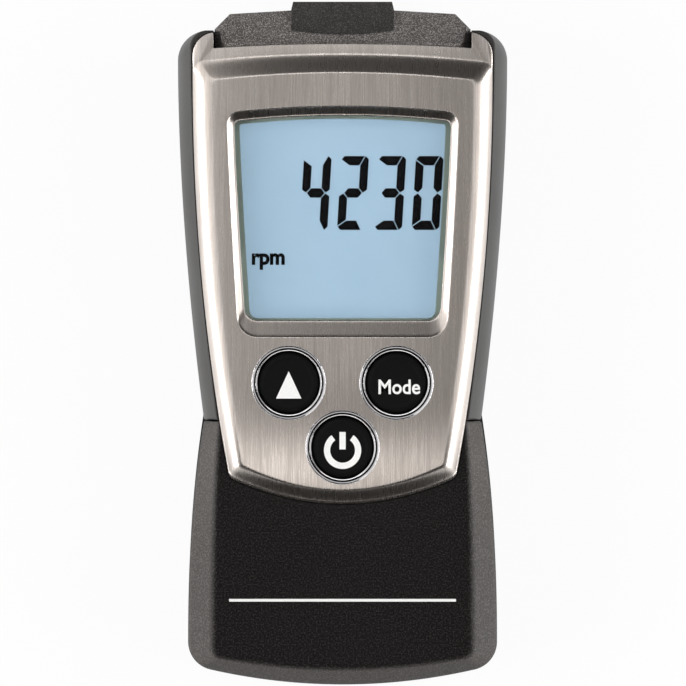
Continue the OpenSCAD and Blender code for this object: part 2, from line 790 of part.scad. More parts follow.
module key_cap(place) {
    translate([place[0], place[1], 0]) rotate_extrude($fn = round_fn) polygon([
        [0, flange_z],
        [flange_r, flange_z],
        [flange_r, flange_z + flange_t],
        [key_r, flange_z + flange_t],
        [key_r, cap_z - cap_round],
        [key_r - cap_round, cap_z],
        [0, cap_z],
    ]);
}

module key_cap_up() {
    color([0.08, 0.08, 0.08]) difference() {
        key_cap(up_key);
        translate([0, 0, cap_z - legend_d]) linear_extrude(legend_d + over) arrow(legend_gap);
    }
}

module key_cap_mode() {
    color([0.08, 0.08, 0.08]) key_cap(mode_key);
}

module key_cap_power() {
    color([0.08, 0.08, 0.08]) difference() {
        key_cap(power_key);
        translate([0, 0, cap_z - legend_d]) linear_extrude(legend_d + over) power_mark(legend_gap);
    }
}

module legend_up() {
    color([0.95, 0.95, 0.95]) translate([0, 0, cap_z - legend_d])
        linear_extrude(legend_d + legend_proud) arrow(0);
}

module legend_power() {
    color([0.95, 0.95, 0.95]) translate([0, 0, cap_z - legend_d])
        linear_extrude(legend_d + legend_proud) power_mark(0);
}

// Rubber plunger under a key with its conducting pill, and the soft collar that springs it back
plunger_r = 2.2;
pill_r = 1.6;
pill_t = 0.4;
collar_foot_r = 3.9;
collar_top_r = 2.8;
collar_t = 0.5;
collar_l = 2.4;
mat_z = board_z + touch_gap + mat_t;
pill_z = board_z + pad_t + key_travel + touch_gap;

module plunger(place) {
    color([0.72, 0.72, 0.7]) post(place, plunger_r, pill_z + pill_t, flange_z);
}

module pill(place) {
    color([0.1, 0.1, 0.1]) post(place, pill_r, pill_z, pill_z + pill_t);
}

module collar(place) {
    color([0.75, 0.75, 0.72]) translate([place[0], place[1], mat_z]) rotate_extrude($fn = round_fn) polygon([
        [collar_foot_r - collar_t, 0],
        [collar_foot_r, 0],
        [collar_top_r, collar_l],
        [plunger_r + touch_gap, collar_l],
        [plunger_r + touch_gap, collar_l - collar_t],
    ]);
}

// Two cells side by side, laid head to tail, and their contacts
barrel_gap = 0.1;
cell_x = cell_r + barrel_gap;
nipple_r = 1.9;
nipple_l = 1;
cell_low = bay_low + contact_t + spring_l;
cell_round = 0.4;

// A cell stands on its flat end at the origin and is turned into place
module cell() {
    rotate_extrude($fn = round_fn) polygon([
        [0, 0],
        [cell_r - cell_round, 0],
        [cell_r, cell_round],
        [cell_r, cell_l - nipple_l - cell_round],
        [cell_r - cell_round, cell_l - nipple_l],
        [nipple_r, cell_l - nipple_l],
        [nipple_r, cell_l],
        [0, cell_l],
    ]);
}

module cell_left() {
    color([0.2, 0.3, 0.45]) translate([-cell_x, cell_low, cell_z]) rotate([-90, 0, 0]) cell();
}

module cell_right() {
    color([0.2, 0.3, 0.45]) translate([cell_x, bay_low + contact_t + cell_l, cell_z]) rotate([90, 0, 0]) cell();
}

// Conical contact spring, one unbroken wire, wide end first, along the way it points
wire_r = 0.25;
spring_wide_r = 3.3;
spring_narrow_r = 1.7;
spring_turns = 2.5;
turn_rings = 8;
wire_sides = 6;

function coil_point(k, l) =
    let (
        a = 360 * spring_turns * k,
        r = spring_wide_r + (spring_narrow_r - spring_wide_r) * k
    )
    [r * cos(a), r * sin(a), wire_r + (l - 2 * wire_r) * k];

module coil(l) {
    n = spring_turns * turn_rings;
    centres = [for (i = [0 : n]) coil_point(i / n, l)];
    loops = [for (i = [0 : n]) let (a = 360 * spring_turns * i / n) for (j = [0 : wire_sides - 1])
        let (b = 360 * j / wire_sides)
            centres[i] + wire_r * [cos(a) * cos(b), sin(a) * cos(b), sin(b)]];
    sides = [for (i = [0 : n - 1]) for (j = [0 : wire_sides - 1])
        let (a = i * wire_sides + j, b = i * wire_sides + (j + 1) % wire_sides)
            each [[a, b, b + wire_sides], [a, b + wire_sides, a + wire_sides]]];
    caps = [[for (j = [wire_sides - 1 : -1 : 0]) j], [for (j = [0 : wire_sides - 1]) n * wire_sides + j]];
    polyhedron(loops, concat(sides, caps));
}

module spring_left() {
    color([0.8, 0.8, 0.8]) translate([-cell_x, bay_low + contact_t, cell_z]) rotate([-90, 0, 0]) coil(spring_l);
}

module spring_right() {
    color([0.8, 0.8, 0.8]) translate([cell_x, bay_high - contact_t, cell_z]) rotate([90, 0, 0]) coil(spring_l);
}

bridge_half = 9.6;
contact_half = 4;
contact_h = 8;

module bridge_contact() {
    color([0.78, 0.78, 0.76])
        box_of(bridge_half, bay_low, bay_low + contact_t, cell_z - contact_h / 2, cell_z + contact_h / 2);
}

module end_contact(x) {
    color([0.78, 0.78, 0.76]) translate([x, 0, 0])
        box_of(contact_half, bay_high - contact_t, bay_high, cell_z - contact_h / 2, cell_z + contact_h / 2);
}

// Sensor head: shoulders for the protective cap, and a nose with the optics
shoulder_r = 2.15;                          // cut corner of the shoulders
shoulder_drop = 1.7;                        // their end below the nose tip
shoulder_rise = 0.5;                        // the end edge rises by this towards the nose
shoulder_top_z = 22.4;
shoulder_fall = 2.1;                        // the front face falls by this towards the tip
shoulder_chamfer_w = 1.5;
shoulder_chamfer_h = 2.2;
nose_z = 21.5;
nose_sag = 0.4;
nose_back_z = 5.6;
nose_taper = 0.4;
nose_chamfer = 0.9;
head_back_rise = 1.4;
head_root = body_top - wall - fit_gap;
flange_plate_t = 1.6;
flange_plate_half = 18.6;
flange_plate_low = 3.4;
flange_plate_high = 17.4;
optic_z = 13.4;

// Pocket and window around the two lenses
holder_half = 5.6;
holder_h = 5.8;
holder_back = 8;                            // the holder ends this far behind the window
window_half = 6.2;
window_h = 7;
eye_t = 1;
eye_sink = 0.5;
eye_back = nose_tip - eye_sink - eye_t;
led_r = 1.5;
led_l = 4.4;
led_rim_r = 1.75;
led_rim_t = 0.6;
lens_t = 1.4;
lens_dome = 0.6;
lens_sink = 0.4;
lens_back = eye_back - lens_sink - lens_t;
led_back = eye_back - holder_back;
lead_r = 0.25;
lead_x = 0.64;
lead_l = 4.5;
side_cave_in = 7.6;
side_cave_out = 16.2;
side_cave_low = 5.4;
side_cave_high = 19.2;
side_cave_wall = 1.9;

module oblong(half, h, low, high) {
    translate([0, high, optic_z]) rotate([90, 0, 0]) linear_extrude(high - low) {
        translate([-half + h / 2, -h / 2]) square([2 * half - h, h]);
        for (s = [-1, 1]) translate([s * (half - h / 2), 0]) circle(r = h / 2, $fn = round_fn);
    }
}

module shoulder_plan() {
    end_y = nose_tip - shoulder_drop;
    half = shoulder_w / 2;
    polygon([[-half, head_root], [half, head_root], [half, end_y - shoulder_r], [half - shoulder_r, end_y],
             [nose_w / 2, end_y + shoulder_rise], [-nose_w / 2, end_y + shoulder_rise],
             [-half + shoulder_r, end_y], [-half, end_y - shoulder_r]]);
}

module shoulder_profile() {
    end_y = nose_tip - shoulder_drop + shoulder_rise;
    notch_y = body_top - notch_d;
    rotate([90, 0, 90]) translate([0, 0, -shoulder_w]) linear_extrude(2 * shoulder_w) polygon([
        [head_root - over, shoulder_z],
        [notch_y + head_back_rise, shoulder_z],
        [end_y, shoulder_z + head_back_rise],
        [end_y, shoulder_top_z - shoulder_fall],
        [notch_y, shoulder_top_z],
        [head_root - over, shoulder_top_z],
    ]);
}

module shoulder_section() {
    half = shoulder_w / 2;
    rotate([90, 0, 0]) translate([0, 0, -nose_tip - over]) linear_extrude(body_l) polygon([
        [-half, shoulder_z - over],
        [half, shoulder_z - over],
        [half, shoulder_top_z - shoulder_chamfer_h],
        [half - shoulder_chamfer_w, shoulder_top_z + tiny_r],
        [-half + shoulder_chamfer_w, shoulder_top_z + tiny_r],
        [-half, shoulder_top_z - shoulder_chamfer_h],
    ]);
}

module nose() {
    half = nose_w / 2;
    steps = 4;
    crown_line = [for (i = [-steps : steps]) let (k = -i / steps) [k * half, nose_z - nose_sag * k * k]];
    intersection() {
        translate([0, nose_tip, 0]) rotate([90, 0, 0]) linear_extrude(nose_tip - head_root) polygon(
            concat([[-half + nose_chamfer, nose_back_z], [half - nose_chamfer, nose_back_z],
                    [half, nose_back_z + nose_chamfer]], crown_line, [[-half, nose_back_z + nose_chamfer]]));
        linear_extrude(body_t) polygon([[-half, head_root], [half, head_root], [half, nose_tip - shoulder_drop],
            [half - nose_taper, nose_tip], [-half + nose_taper, nose_tip], [-half, nose_tip - shoulder_drop]]);
    }
}

module sensor_head() {
    color([0.15, 0.14, 0.14]) difference() {
        union() {
            intersection() {
                linear_extrude(body_t) shoulder_plan();
                shoulder_profile();
                shoulder_section();
            }
            nose();
            box_of(flange_plate_half, head_root - flange_plate_t, head_root, flange_plate_low,
                   flange_plate_high);
        }
        oblong(window_half + touch_gap, window_h + 2 * touch_gap, eye_back - touch_gap, nose_tip + over);
        box_of(holder_half + touch_gap, head_root - flange_plate_t - over, eye_back,
               optic_z - holder_h / 2 - touch_gap, optic_z + holder_h / 2 + touch_gap);
        both_sides() translate([side_cave_in, head_root - flange_plate_t - over, side_cave_low])
            cube([side_cave_out - side_cave_in, body_top - head_root + flange_plate_t + over - side_cave_wall,
                  side_cave_high - side_cave_low]);
    }
}

module sensor_window() {
    color([0.25, 0.05, 0.08]) oblong(window_half, window_h, eye_back, eye_back + eye_t);
}

module optics_holder() {
    color([0.1, 0.1, 0.1]) difference() {
        box_of(holder_half, led_back, eye_back - touch_gap, optic_z - holder_h / 2, optic_z + holder_h / 2);
        for (s = [-1, 1]) {
            bar_y(s * lens_x, optic_z, lens_r + touch_gap, lens_back - touch_gap, eye_back + over);
            bar_y(s * lens_x, optic_z, led_r + touch_gap, led_back - over, lens_back);
            bar_y(s * lens_x, optic_z, led_rim_r + touch_gap, led_back - over,
                  led_back + led_rim_t + touch_gap);
        }
    }
}

// Plano-convex lens: a disc whose front face bulges
module lens(x) {
    steps = 5;
    edge = lens_t - lens_dome;
    dome = [for (i = [0 : steps]) let (k = i / steps)
        [lens_r * (1 - k), edge + lens_dome * (1 - (1 - k) * (1 - k))]];
    translate([x, lens_back, optic_z]) rotate([-90, 0, 0])
        rotate_extrude($fn = round_fn) polygon(concat([[0, 0], [lens_r, 0]], dome));
}

module emitter_lens() {
    color([0.9, 0.85, 0.85]) lens(-lens_x);
}

module receiver_lens() {
    color([0.9, 0.85, 0.85]) lens(lens_x);
}

module diode(x) {
    bar_y(x, optic_z, led_r, led_back, led_back + led_l);
    bar_y(x, optic_z, led_rim_r, led_back, led_back + led_rim_t);
}

module emitter_led() {
    color([0.8, 0.2, 0.2]) diode(-lens_x);
}

module receiver_diode() {
    color([0.15, 0.15, 0.2]) diode(lens_x);
}

module sensor_leads() {
    bend_y = board_high - lead_r - fit_gap;
    color([0.75, 0.75, 0.75]) for (s = [-1, 1]) for (t = [-1, 1]) let (x = s * lens_x + t * lead_x) {
        bar_y(x, optic_z, lead_r, bend_y - lead_r, led_back);
        post([x, bend_y], lead_r, optic_z, board_z - board_t);
    }
}

rear_housing();
front_housing();
face_plate();
battery_cover();
housing_screws();
board_screws();
display_window();
window_tape();
lcd_panel();
lcd_segments();
lcd_frame();
backlight_guide();
backlight_leds();
zebra_strip();
main_board();
microcontroller();
quartz_crystal();
board_capacitors();
key_pads();
keypad_mat();
key_ring(up_key);  // ring_up
key_ring(mode_key);  // ring_mode
key_ring(power_key);  // ring_power
key_cap_up();
key_cap_mode();
key_cap_power();
legend_up();
legend_power();
plunger(up_key);  // plunger_up
plunger(mode_key);  // plunger_mode
plunger(power_key);  // plunger_power
pill(up_key);  // pill_up
pill(mode_key);  // pill_mode
pill(power_key);  // pill_power
collar(up_key);  // collar_up
collar(mode_key);  // collar_mode
collar(power_key);  // collar_power
cell_left();
cell_right();
spring_left();
spring_right();
bridge_contact();
end_contact(-cell_x);  // plus_contact
end_contact(cell_x);  // minus_contact
sensor_head();
sensor_window();
optics_holder();
emitter_lens();
receiver_lens();
emitter_led();
receiver_diode();
sensor_leads();
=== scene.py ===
# %% [markdown]
# # A pocket tachometer, dressed for its portrait
#
# The instrument is a black plastic shell with a brushed steel plate, a blue display and three keys in
# chromed rings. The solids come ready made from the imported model. This lesson gives every one of them a
# finish, and rebuilds the pieces whose curves the eye lingers on: the steel plate, the two shells, the
# rings and the key caps.

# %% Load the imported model
import math

import bmesh
import bpy
import numpy as np
from mathutils import Matrix, Vector
from mathutils.geometry import delaunay_2d_cdt


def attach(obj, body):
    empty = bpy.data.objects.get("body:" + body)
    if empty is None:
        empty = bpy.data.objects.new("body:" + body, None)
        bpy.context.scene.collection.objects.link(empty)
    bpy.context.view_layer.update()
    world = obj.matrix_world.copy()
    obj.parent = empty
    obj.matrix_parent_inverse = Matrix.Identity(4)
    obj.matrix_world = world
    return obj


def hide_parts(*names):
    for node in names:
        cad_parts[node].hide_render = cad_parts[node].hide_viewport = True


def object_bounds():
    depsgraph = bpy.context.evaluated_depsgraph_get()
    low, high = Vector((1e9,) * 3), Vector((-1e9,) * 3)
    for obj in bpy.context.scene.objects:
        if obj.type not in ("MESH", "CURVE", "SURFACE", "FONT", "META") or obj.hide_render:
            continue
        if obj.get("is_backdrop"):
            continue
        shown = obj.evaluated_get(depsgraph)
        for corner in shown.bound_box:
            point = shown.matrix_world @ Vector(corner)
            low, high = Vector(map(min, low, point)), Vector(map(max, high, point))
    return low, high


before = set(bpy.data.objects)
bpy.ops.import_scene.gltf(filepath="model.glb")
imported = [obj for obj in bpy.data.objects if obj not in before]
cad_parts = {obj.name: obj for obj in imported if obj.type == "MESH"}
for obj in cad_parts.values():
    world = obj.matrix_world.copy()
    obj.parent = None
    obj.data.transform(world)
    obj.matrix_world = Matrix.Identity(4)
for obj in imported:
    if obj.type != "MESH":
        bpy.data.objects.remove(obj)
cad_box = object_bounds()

# %% [markdown]
# ## Measures
#
# All lengths are in millimetres while a shape is drawn, because the part is small and booleans are
# happier with numbers near one. Each finished mesh is then scaled to metres once. An outline is a list:
# half widths at the top and the bottom, places of the top and bottom edges, corner radii, sags of those
# edges, and the power of the side curve, as in the part's own source.

# %% Measures of the body
MM = 0.001
WINGS = [23, 19.4, 43.6, -10.7, 4.1, 0.4, 0, 0, 1.8]
GRIP = [19.4, 21.55, -10.85, -47.6, 0.4, 4, 0, 2.1, -2.3]
GRIP_FACE = [17.3, 18.05, -10.85, -45.4, 0.4, 1.4, 0, 1.5, -2.3]
PLATE = [20.9, 15.95, 40.6, -22.4, 1.6, 1.6, 1, 3.3, 2.05]
CROWN = [18.2, 13.95, 37.7, -20.5, 0.8, 0.8, 1, 3.3, 2.05]
GLASS = [15.1, 13.7, 31.7, 3.2, 0.9, 1.9, 0.75, 0, 1.2]
FIT = 0.15
WALL = 1.6
BOTTOM = -47.6
SEAM_Y = -10.7
PARTING_Z = 13
FACE_Z = 22.8
FACET_Z = 19.2
RIM_Z = 23.2
PLATE_Z = 24.7
SHEET = 0.6
ABOVE = 26
SEAT_Z = 22.55
DECK_Z = 20.7
LEDGE_Z = 21.5
GLASS_Z = 22.65
RING_TOP = 25
CAP_Z = 24.2
LCD_Z = 20.55
KEYS = {"up": (-7.5, -5.5), "mode": (7.5, -5.5), "power": (0, -14.5)}
print("keys at", KEYS)

# %% [markdown]
# ## Outlines
#
# A ring is one closed line of points round an outline. Every ring drawn with the same counts has the
# same number of points in the same order, so two rings can be joined by quads, and a shape that changes
# from one outline to another, like the bevel of the plate, stays smooth.


# %% Rings
def grow(s, side, top, foot):
    return [s[0] + side, s[1] + side, s[2] + top, s[3] - foot,
            max(s[4] + side, 0.4), max(s[5] + side, 0.4)] + s[6:]


def side_share(power, t):
    return t ** power if power > 0 else 1 - (1 - t) ** -power


def right_half(s, edge_n, corner_n, side_n):
    """The four runs of an outline's right half: bottom edge, bottom corner, side, top corner, top edge."""
    wide, narrow, top, foot, r_top, r_foot, sag_top, sag_foot, power = s
    top_tilt = math.atan(2 * sag_top / (wide - r_top))
    foot_tilt = math.atan(2 * sag_foot / (narrow - r_foot))
    side_top = top - sag_top - r_top * math.cos(top_tilt)
    lean = math.atan(power * (wide - narrow) / (side_top - foot - sag_foot)) if power > 0 else 0
    side_foot = foot + sag_foot + r_foot * (math.cos(foot_tilt) - math.sin(lean))
    foot_x = narrow - r_foot * math.cos(lean)
    foot_y = side_foot + r_foot * math.sin(lean)
    foot_end = foot_x + r_foot * math.sin(foot_tilt)
    top_end = wide - r_top + r_top * math.sin(top_tilt)
    half_turn = math.pi / 2
    foot_edge = [(foot_end * k, foot + sag_foot * k * k) for k in np.arange(edge_n) / edge_n]
    foot_corner = [(foot_x + r_foot * math.cos(a), foot_y + r_foot * math.sin(a))
                   for a in np.linspace(foot_tilt - half_turn, -lean, corner_n + 1)]
    side = [(wide + (narrow - wide) * side_share(power, t), side_top + (side_foot - side_top) * t)
            for t in 1 - np.arange(1, side_n) / side_n]
    top_corner = [(wide - r_top + r_top * math.cos(a), side_top + r_top * math.sin(a))
                  for a in np.linspace(0, half_turn - top_tilt, corner_n + 1)]
    top_edge = [(top_end * k, top - sag_top * k * k) for k in 1 - np.arange(1, edge_n + 1) / edge_n]
    return foot_edge, foot_corner, side, top_corner, top_edge


def mirrored(right):
    return np.array(right + [(-x, y) for x, y in reversed(right) if x > 1e-9])


def ring(s, edge_n=12, corner_n=8, side_n=24):
    return mirrored([p for run in right_half(s, edge_n, corner_n, side_n) for p in run])


def inset(points, by):
    """The same closed line moved inwards by a small distance."""
    before, after = np.roll(points, 1, 0), np.roll(points, -1, 0)
    along = after - before
    along /= np.maximum(np.linalg.norm(along, axis=1), 1e-9)[:, None]
    return points + by * np.stack([-along[:, 1], along[:, 0]], 1)


print("points round an outline:", len(ring(PLATE)))

# %% [markdown]
# ## Meshes from rings
#
# A loft joins rings with quads. A lathe does the same with a profile turned about an upright axis. What
# is flat and full of holes, like the face of the steel plate, is filled with a constrained Delaunay
# triangulation, which keeps the rim lines and never fans out from a corner.


# %% A draft of points and faces
class Draft:
    """Points and faces gathered in millimetres before they become a mesh."""

    def __init__(self):
        self.points, self.faces = [], []

    def add(self, points):
        start = len(self.points)
        self.points += [tuple(map(float, p)) for p in points]
        return start

    def loft(self, rings):
        """Rings are lists of (x, y, z). The skin between each two of them is made of quads."""
        n = len(rings[0])
        starts = [self.add(r) for r in rings]
        for a, b in zip(starts, starts[1:]):
            self.faces += [(a + i, a + (i + 1) % n, b + (i + 1) % n, b + i) for i in range(n)]
        return starts

    def cap(self, start, n, up=True):
        face = tuple(range(start, start + n))
        self.faces.append(face if up else face[::-1])

    def solid(self, rings):
        starts = self.loft(rings)
        self.cap(starts[0], len(rings[0]), up=False)
        self.cap(starts[-1], len(rings[0]))
        return self

    def fill(self, outer, holes, z, up=True):
        """A flat face at height z between an outer line and the lines of its holes."""
        loops = [outer] + holes
        points = [Vector(p) for loop in loops for p in loop]
        edges, start = [], 0
        for loop in loops:
            n = len(loop)
            edges += [(start + i, start + (i + 1) % n) for i in range(n)]
            start += n
        made, _, triangles, *_ = delaunay_2d_cdt(points, edges, [], 0, 1e-6)
        first = self.add([(p.x, p.y, z) for p in made])
        for t in triangles:
            middle = sum((made[i] for i in t), Vector((0, 0))) / 3
            if inside(middle, outer) and not any(inside(middle, h) for h in holes):
                face = tuple(first + i for i in t)
                self.faces.append(face if up else face[::-1])

    def mesh(self, name):
        data = bpy.data.meshes.new(name)
        data.from_pydata(self.points, [], self.faces)
        data.validate()
        return data


# %% Lines, circles and turned profiles
def inside(p, loop):
    """Whether a point lies within a closed line, by counting crossings of a ray."""
    x, y = np.asarray(loop)[:, 0], np.asarray(loop)[:, 1]
    x2, y2 = np.roll(x, -1), np.roll(y, -1)
    crosses = (y > p[1]) != (y2 > p[1])
    at = x[crosses] + (p[1] - y[crosses]) * (x2[crosses] - x[crosses]) / (y2[crosses] - y[crosses])
    return bool((at > p[0]).sum() % 2)


def at_height(points, z):
    return [(x, y, z) for x, y in points]


def circle(place, r, n=64):
    angles = 2 * math.pi * np.arange(n) / n
    return np.stack([place[0] + r * np.cos(angles), place[1] + r * np.sin(angles)], 1)


def lathe(draft, place, profile, n=96):
    """profile holds (radius, height) pairs, from the inside bottom round to the inside top."""
    draft.loft([at_height(circle(place, max(r, 1e-4), n), z) for r, z in profile])


def smooth_line(points, n):
    """A denser line through given points, with Catmull-Rom tangents."""
    p = np.array(points, float)
    p = np.vstack([2 * p[0] - p[1], p, 2 * p[-1] - p[-2]])
    out = []
    for i in range(1, len(p) - 2):
        for t in np.arange(n) / n:
            a, b, c, d = p[i - 1:i + 3]
            out.append(0.5 * (2 * b + (c - a) * t + (2 * a - 5 * b + 4 * c - d) * t ** 2
                              + (3 * b - a - 3 * c + d) * t ** 3))
    return out + [p[-2]]


print("a circle has", len(circle((0, 0), 1)), "points")


# %% Objects and simple solids
def place_mesh(name, data):
    thing = bpy.data.objects.new(name, data)
    bpy.context.scene.collection.objects.link(thing)
    return thing


def body_of_rings(name, rings):
    return place_mesh(name, Draft().solid(rings).mesh(name))


def block(name, low, high):
    corners = [(low[0], low[1]), (high[0], low[1]), (high[0], high[1]), (low[0], high[1])]
    return body_of_rings(name, [at_height(corners, low[2]), at_height(corners, high[2])])


def rod(name, place, r, low, high, n=48):
    return body_of_rings(name, [at_height(circle(place, r, n), low), at_height(circle(place, r, n), high)])


def slab(name, outline_of, low, high):
    points = ring(outline_of)
    return body_of_rings(name, [at_height(points, low), at_height(points, high)])


# %% Cuts, and settling in the frame
def combine(target, others, operation):
    """Adds or cuts solids, one after the other, and keeps the result as the target's own mesh."""
    for other in others:
        step = target.modifiers.new("step", "BOOLEAN")
        step.operation, step.solver, step.object = operation, "EXACT", other
    graph = bpy.context.evaluated_depsgraph_get()
    made = bpy.data.meshes.new_from_object(target.evaluated_get(graph))
    target.modifiers.clear()
    target.data = made
    for other in others:
        bpy.data.objects.remove(other, do_unlink=True)
    return target


def settle(piece, body, nodes, finish, sharp=34, weld=1e-4):
    """Scales a drawn piece to metres, smooths it, gives it its body and its finish, and hides the solids it
    stands in for.
    """
    edit = bmesh.new()
    edit.from_mesh(piece.data)
    bmesh.ops.remove_doubles(edit, verts=edit.verts, dist=weld)
    bmesh.ops.dissolve_degenerate(edit, edges=edit.edges, dist=weld / 10)
    bmesh.ops.recalc_face_normals(edit, faces=edit.faces)
    edit.to_mesh(piece.data)
    edit.free()
    piece.data.transform(Matrix.Scale(MM, 4))
    piece.data.shade_smooth()
    piece.data.set_sharp_from_angle(angle=math.radians(sharp))
    piece.data.materials.clear()
    piece.data.materials.append(finish)
    even = piece.modifiers.new("even shading", "WEIGHTED_NORMAL")
    even.keep_sharp = True
    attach(piece, body)
    if nodes:
        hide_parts(*nodes)
    print(f"{piece.name}: {len(piece.data.polygons)} faces, rides on {body}")
    return piece

# %% [markdown]
# ## Effects shared by several finishes
#
# Moulded plastic has a fine sparkle of raised grains, brushed steel has long hairlines, every handled
# thing has worn edges, and no surface is quite even. Each of these is a node group with its own inputs,
# so that one recipe serves a dozen materials. Three more groups say where something happens: how a
# pressed face bellies, which band of a moulding is darker, and which flanks slope. A group gives out
# colours, masks and heights only. The shader itself stays in the material, where the export can read it.


# %% Node helpers
def tone(r, g, b):
    """A colour written as it looks on a screen, from 0 to 255, made linear for the shader."""
    def line(c):
        c /= 255
        return c / 12.92 if c <= 0.04045 else ((c + 0.055) / 1.055) ** 2.4
    return (line(r), line(g), line(b), 1)


def node(tree, kind, settings=None, **inputs):
    made = tree.nodes.new(kind)
    for key, value in (settings or {}).items():
        setattr(made, key, value)
    for key, value in inputs.items():
        socket = made.inputs[int(key[1:])] if key[0] == "i" and key[1:].isdigit() else made.inputs[key]
        if isinstance(value, bpy.types.NodeSocket):
            tree.links.new(value, socket)
        else:
            socket.default_value = value
    return made


def new_group(name, inputs, outputs):
    group = bpy.data.node_groups.new(name, "ShaderNodeTree")
    for side, sockets in (("INPUT", inputs), ("OUTPUT", outputs)):
        for label, kind in sockets.items():
            value = None
            if isinstance(kind, tuple):
                kind, value = kind
            socket = group.interface.new_socket(label, in_out=side, socket_type="NodeSocket" + kind)
            if value is not None:
                socket.default_value = value
    return group, group.nodes.new("NodeGroupInput").outputs, group.nodes.new("NodeGroupOutput").inputs


# %% Short names for common nodes
def stretch_range(tree, value, low, high, to_low=0.0, to_high=1.0):
    return node(tree, "ShaderNodeMapRange", {"clamp": True}, i0=value, i1=low, i2=high, i3=to_low,
                i4=to_high).outputs[0]


def mixed(tree, factor, a, b):
    return node(tree, "ShaderNodeMix", {"data_type": "RGBA"}, i0=factor, i6=a, i7=b).outputs[2]


def maths(tree, operation, a, b):
    return node(tree, "ShaderNodeMath", {"operation": operation}, i0=a, i1=b).outputs[0]


def noise(tree, place, scale, detail, rough):
    made = node(tree, "ShaderNodeTexNoise", Vector=place, Scale=scale, Detail=detail, Roughness=rough)
    return made.outputs[0]


def object_place(tree):
    """Where a point lies on its piece, in metres."""
    return node(tree, "ShaderNodeTexCoord").outputs["Object"]


def hand_over(group, out, **values):
    """Joins finished values to the group's outputs."""
    for label, value in values.items():
        group.links.new(value, out[label])
    print("group:", group.name)


# %% Moulded grain
grain_group, given, out = new_group(
    "Moulded grain",
    {"Grains per metre": ("Float", 2600.0), "Plastic": "Color", "Fleck": "Color", "Flecks": ("Float", 0.5)},
    {"Colour": "Color", "Height": "Float"})
fine = noise(grain_group, object_place(grain_group), given["Grains per metre"], 2.0, 0.6)
share = maths(grain_group, "MULTIPLY", stretch_range(grain_group, fine, 0.47, 0.68), given["Flecks"])
hand_over(grain_group, out, Colour=mixed(grain_group, share, given["Plastic"], given["Fleck"]), Height=fine)

# %% Brushed lines
# Steel is brushed along the body. Noise squeezed across and drawn out along Y gives hairlines that start
# and end somewhere. A second, coarser pass gives the broader streaks that a real brush leaves.
brush_group, given, out = new_group(
    "Brushed lines",
    {"Lines per metre": ("Float", 4200.0), "Draw": ("Float", 0.02), "Streak share": ("Float", 0.4)},
    {"Shade": "Float", "Height": "Float"})
along = maths(brush_group, "MULTIPLY", given["Lines per metre"], given["Draw"])
squeeze = node(brush_group, "ShaderNodeCombineXYZ", X=given["Lines per metre"], Y=along, Z=along).outputs[0]
drawn_out = node(brush_group, "ShaderNodeVectorMath", {"operation": "MULTIPLY"},
                 i0=object_place(brush_group), i1=squeeze).outputs[0]
hair = noise(brush_group, drawn_out, 1.0, 3.0, 0.65)
streak = noise(brush_group, drawn_out, 0.16, 2.0, 0.5)
shade = node(brush_group, "ShaderNodeMix", {"data_type": "FLOAT"}, i0=given["Streak share"],
             i2=stretch_range(brush_group, hair, 0.3, 0.7), i3=stretch_range(brush_group, streak, 0.3, 0.7))
hand_over(brush_group, out, Shade=shade.outputs[0], Height=hair)

# %% Cushion
# A press never leaves a face dead flat. This group gives the height of a soft crown: lower towards both
# sides, and lower towards the foot. It only bends the shading.
cushion_group, given, out = new_group(
    "Cushion", {"Across": ("Float", 5.0), "Along": ("Float", 7.5), "Level from": ("Float", -0.002)},
    {"Height": "Float"})
x, y, _ = node(cushion_group, "ShaderNodeSeparateXYZ", Vector=object_place(cushion_group)).outputs
below = maths(cushion_group, "MINIMUM", maths(cushion_group, "SUBTRACT", y, given["Level from"]), 0.0)
side, foot = (maths(cushion_group, "MULTIPLY", maths(cushion_group, "POWER", way, 2.0), given[label])
              for way, label in ((x, "Across"), (below, "Along")))
fall = maths(cushion_group, "ADD", side, foot)
hand_over(cushion_group, out, Height=maths(cushion_group, "MULTIPLY", fall, -1.0))

# %% Region
# Two parts of one moulding can differ in finish. This mask is one inside an upright band of a given half
# width that starts at a given height and sags at its middle.
region_group, given, out = new_group(
    "Region", {"Half width": ("Float", 0.0072), "From": ("Float", 0.0436), "Sag": ("Float", 0.0006)},
    {"Mask": "Float"})
x, y, _ = node(region_group, "ShaderNodeSeparateXYZ", Vector=object_place(region_group)).outputs
across = maths(region_group, "DIVIDE", maths(region_group, "ABSOLUTE", x, 0.0), given["Half width"])
bow = maths(region_group, "SUBTRACT", 1.0, maths(region_group, "POWER", across, 2.0))
start = maths(region_group, "SUBTRACT", given["From"], maths(region_group, "MULTIPLY", bow, given["Sag"]))
above = stretch_range(region_group, maths(region_group, "SUBTRACT", y, start), -0.00008, 0.00008)
within = stretch_range(region_group, across, 0.985, 1.015, 1.0, 0.0)
hand_over(region_group, out, Mask=maths(region_group, "MULTIPLY", above, within))

# %% Painted sheen on slopes
# Painted sheen: sloped flanks catch the low side light, and a paler colour painted there stands in for
# that light. The mask is one where a surface leans about forty-five degrees, and fades towards level and
# towards upright.
sheen_slope_group, given, out = new_group(
    "Painted sheen slopes", {"Level": ("Float", 0.97), "Sloped": ("Float", 0.58), "Upright": ("Float", 0.12)},
    {"Mask": "Float"})
facing = node(sheen_slope_group, "ShaderNodeTexCoord").outputs["Normal"]
lean = node(sheen_slope_group, "ShaderNodeSeparateXYZ", Vector=facing).outputs[2]
from_level, from_upright = (stretch_range(sheen_slope_group, lean, given[end], given["Sloped"])
                            for end in ("Level", "Upright"))
hand_over(sheen_slope_group, out, Mask=maths(sheen_slope_group, "MULTIPLY", from_level, from_upright))

